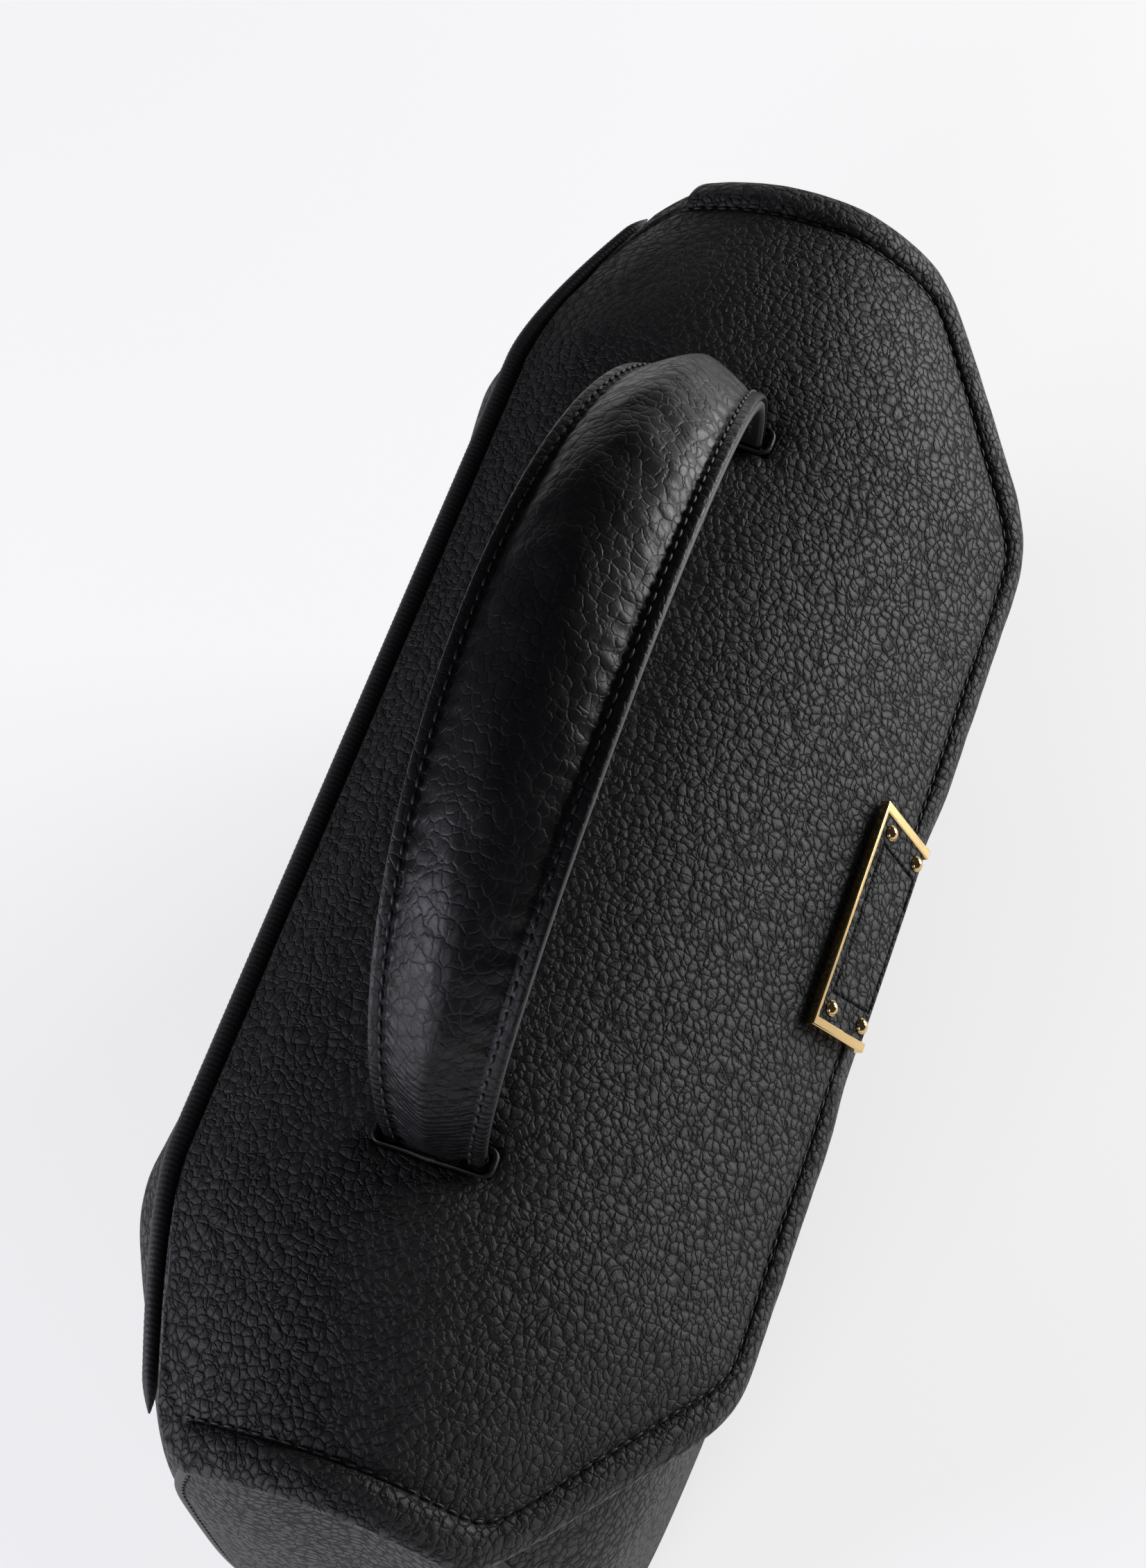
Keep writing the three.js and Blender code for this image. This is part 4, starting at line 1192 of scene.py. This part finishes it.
def build_pad():
    """The padded grip: a leather cover drawn over stuffing and puckered along its seams."""
    turn, loops = pad_points()
    size = loops.shape[1]
    points, faces = ring_loft(loops)
    obj = make_piece("handle_grip", points, faces, GRAIN_HANDLE, closed=False)
    column = np.arange(len(points)) % size
    row = np.arange(len(points)) // size
    on_dome = (column > PAD_FIRST) & (column < PAD_FIRST + PAD_STEPS)
    on_dome &= (row > 1) & (row < len(turn) - 2)
    moved = np.asarray(points)
    start = moved
    moved = inflate(obj, np.flatnonzero(~on_dome))
    step = PAD_SHARE * even_out((moved - start).reshape(loops.shape), PAD_EVEN).reshape(-1, 3)
    far = np.linalg.norm(step, axis=1, keepdims=True)
    moved = start + step * np.minimum(1, PAD_CAP / np.maximum(far, 1e-9))
    moved = pucker(moved.reshape(loops.shape), turn)
    obj.data.vertices.foreach_set("co", (moved * MM).ravel())
    with editing(obj.data) as opened:
        bmesh.ops.recalc_face_normals(opened, faces=opened.faces)
    modifier(obj, "SUBSURF", levels=1, render_levels=1)
    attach(obj, "handle")
    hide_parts("handle_cover", "handle_core")


def even_out(steps, reach):
    """The same moves with their ups and downs along the handle smoothed away."""
    weights = np.hanning(2 * reach + 3)[1:-1]
    weights /= weights.sum()
    padded = np.pad(steps, ((reach, reach), (0, 0), (0, 0)), mode="edge")
    return sum(weight * padded[k:k + len(steps)] for k, weight in enumerate(weights))


def pucker(loops, turn):
    """Sews the grip down: gathers beside both seams, creases across its ends, soft dents."""
    arch = np.array([handle_place(t, 0, 0) for t in turn])
    far = lengths_along(arch)[:, None]
    columns = np.arange(loops.shape[1])
    v = np.clip((columns - PAD_FIRST) / PAD_STEPS * 2 - 1, -1, 1)[None]
    dome = ((columns >= PAD_FIRST) & (columns <= PAD_FIRST + PAD_STEPS))[None]
    middle = np.sin(np.clip(turn, 0, math.pi))[:, None]
    jitter = 1.4 * np.sin(far / 11.3) + 0.9 * np.sin(far / 4.7 + v)
    gathers = 0.5 + 0.5 * np.cos(2 * math.pi * (far + jitter) / 5.2)
    beside_seam = bell(1 - np.abs(v) - 0.12, 0.13)
    creases = 0.5 + 0.5 * np.cos(2 * math.pi * (far + 1.2 * np.sin(2.4 * v + far / 9)) / 2.0)
    near_end = (1 - smooth_step(0.25, 0.62, middle)) * (1 - v ** 4)
    dents = ripple((far + 9 * v, 37, 0.8), (far - 12 * v, 23, 2.9), (far, 15, 5.0))
    out = -0.42 * gathers * beside_seam - 0.10 * creases * near_end + 0.25 * dents * (1 - v * v)
    out = out * dome
    lift = np.stack([handle_place(t, 0, 1.0) - handle_place(t, 0, 0.0) for t in turn])
    return loops + lift[:, None] * out[..., None]


def build_handle_stitches():
    """Both seams, seen on the cover and, clear of the slots, under the strap."""
    lines = []
    on_cover, under_strap = PAD_LOW + FLANGE + 0.02, -STRAP_HALF - 0.05
    for first, count, out in ((0.02, 260, on_cover), (0.09, 250, under_strap)):
        turn = np.linspace(first, math.pi - first, count)
        for sign in (-1, 1):
            lines.append(handle_place(turn, sign * (handle_half(turn) - SEAM_IN), out))
    stitches("grip_stitches", "handle", 3.1, 2.4, 0.75, *lines)


# ---- finishes of the CAD pieces that stay ----------------------------------
def dress_cad_nodes():
    finishes = {"base_board": BOARD, "flap_board": BOARD, "plaque_backplate": PALE_GOLD,
                "body_magnet": NICKEL, "flap_magnet": NICKEL}
    for name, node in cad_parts.items():
        metal = PALE_GOLD if ("rivet" in name or "pin" in name) else NICKEL
        node.data.materials.clear()
        node.data.materials.append(finishes.get(name, metal))


# ---- stage -----------------------------------------------------------------
CAMERA_PLACE_M = (-0.28755, -0.09033, 0.81381)
CAMERA_TURN_DEG = (26.3215, -0.3395, -70.6036)
CAMERA_LENS = 77.587


def build_camera():
    data = bpy.data.cameras.new("studio_camera")
    data.sensor_fit = "AUTO"
    data.sensor_width = 36
    data.lens = CAMERA_LENS
    data.clip_start = 0.01
    camera = bpy.data.objects.new("studio_camera", data)
    camera.location = CAMERA_PLACE_M
    camera.rotation_euler = [math.radians(a) for a in CAMERA_TURN_DEG]
    bpy.context.scene.collection.objects.link(camera)
    bpy.context.scene.camera = camera


def soft_light(name, place, aim, size, power, colour="#ffffff"):
    data = bpy.data.lights.new(name, "AREA")
    data.shape = "RECTANGLE"
    data.size, data.size_y = size
    data.energy = power
    data.color = linear(colour)[:3]
    lamp = bpy.data.objects.new(name, data)
    lamp.location = place
    lamp.rotation_euler = (Vector(aim) - Vector(place)).to_track_quat("-Z", "Y").to_euler()
    bpy.context.scene.collection.objects.link(lamp)


def build_flag():
    """A black card behind the bag that only reflections see, to keep the leather's back dark."""
    y, near, far, tall = 600, -120, 1600, 900
    points = [(near, y, 0), (far, y, 0), (far, y, tall), (near, y, tall)]
    material, tree = new_material("black_velvet_flag")
    where = add(tree, "ShaderNodeTexCoord")
    nap = add(tree, "ShaderNodeTexNoise", {"Vector": (where, "Object"), "Scale": per_mm(2)})
    shade = add(tree, "ShaderNodeMix", {"Factor": (nap, "Fac"), 6: linear("#050505"),
                                        7: linear("#0b0b0b")}, data_type="RGBA")
    finish_material(tree, (shade, 2), 1.0)
    flag = make_piece("velvet_flag", points, [(0, 1, 2, 3)], material, closed=False)
    for ray in ("camera", "diffuse", "shadow", "transmission", "volume_scatter"):
        setattr(flag, "visible_" + ray, False)


def build_stage():
    wide = 9e3
    points = [(-wide, -wide, 0), (wide, -wide, 0), (wide, wide, 0), (-wide, wide, 0)]
    floor = make_piece("studio_floor", points, [(0, 1, 2, 3)], studio_floor("white_sweep"),
                       smooth=False, closed=False)
    centre = (0, 0, 0.18)
    soft_light("front_softbox", (1.1, -1.1, 0.34), centre, (1.1, 0.5), 21)
    soft_light("end_softbox", (-1.2, 0.15, 0.7), centre, (0.4, 0.8), 3, "#f1f0ff")
    soft_light("rim_softbox", (-0.8, 0.95, 0.36), centre, (0.6, 0.4), 7, "#efeeff")
    soft_light("back_softbox", (0.2, 1.3, 0.9), centre, (1.2, 0.6), 1)
    build_flag()
    world = bpy.data.worlds.new("studio_air")
    world.use_nodes = True
    tree = world.node_tree
    tree.nodes.clear()
    path = add(tree, "ShaderNodeLightPath")
    seen = add(tree, "ShaderNodeBackground", {"Color": linear("#eeeeee"), "Strength": 1.0})
    dim = add(tree, "ShaderNodeBackground", {"Color": linear("#e8eaf0"), "Strength": 0.05})
    both = add(tree, "ShaderNodeMixShader", {0: (path, "Is Camera Ray"), 1: (dim, "Background"),
                                             2: (seen, "Background")})
    add(tree, "ShaderNodeOutputWorld", {"Surface": (both, "Shader")})
    bpy.context.scene.world = world
    bpy.context.scene.view_settings.view_transform = "Standard"


for build in (build_camera, build_stage, dress_cad_nodes, build_walls, build_piping,
              build_wall_stitches, build_base, build_lining, build_binding, build_welt,
              build_hinge, build_flap_sheets, build_border, build_slot_rims, build_plaque_frame,
              build_plaque_inlay, build_plaque_rivets, build_strap, build_pad,
              build_handle_stitches):
    build()
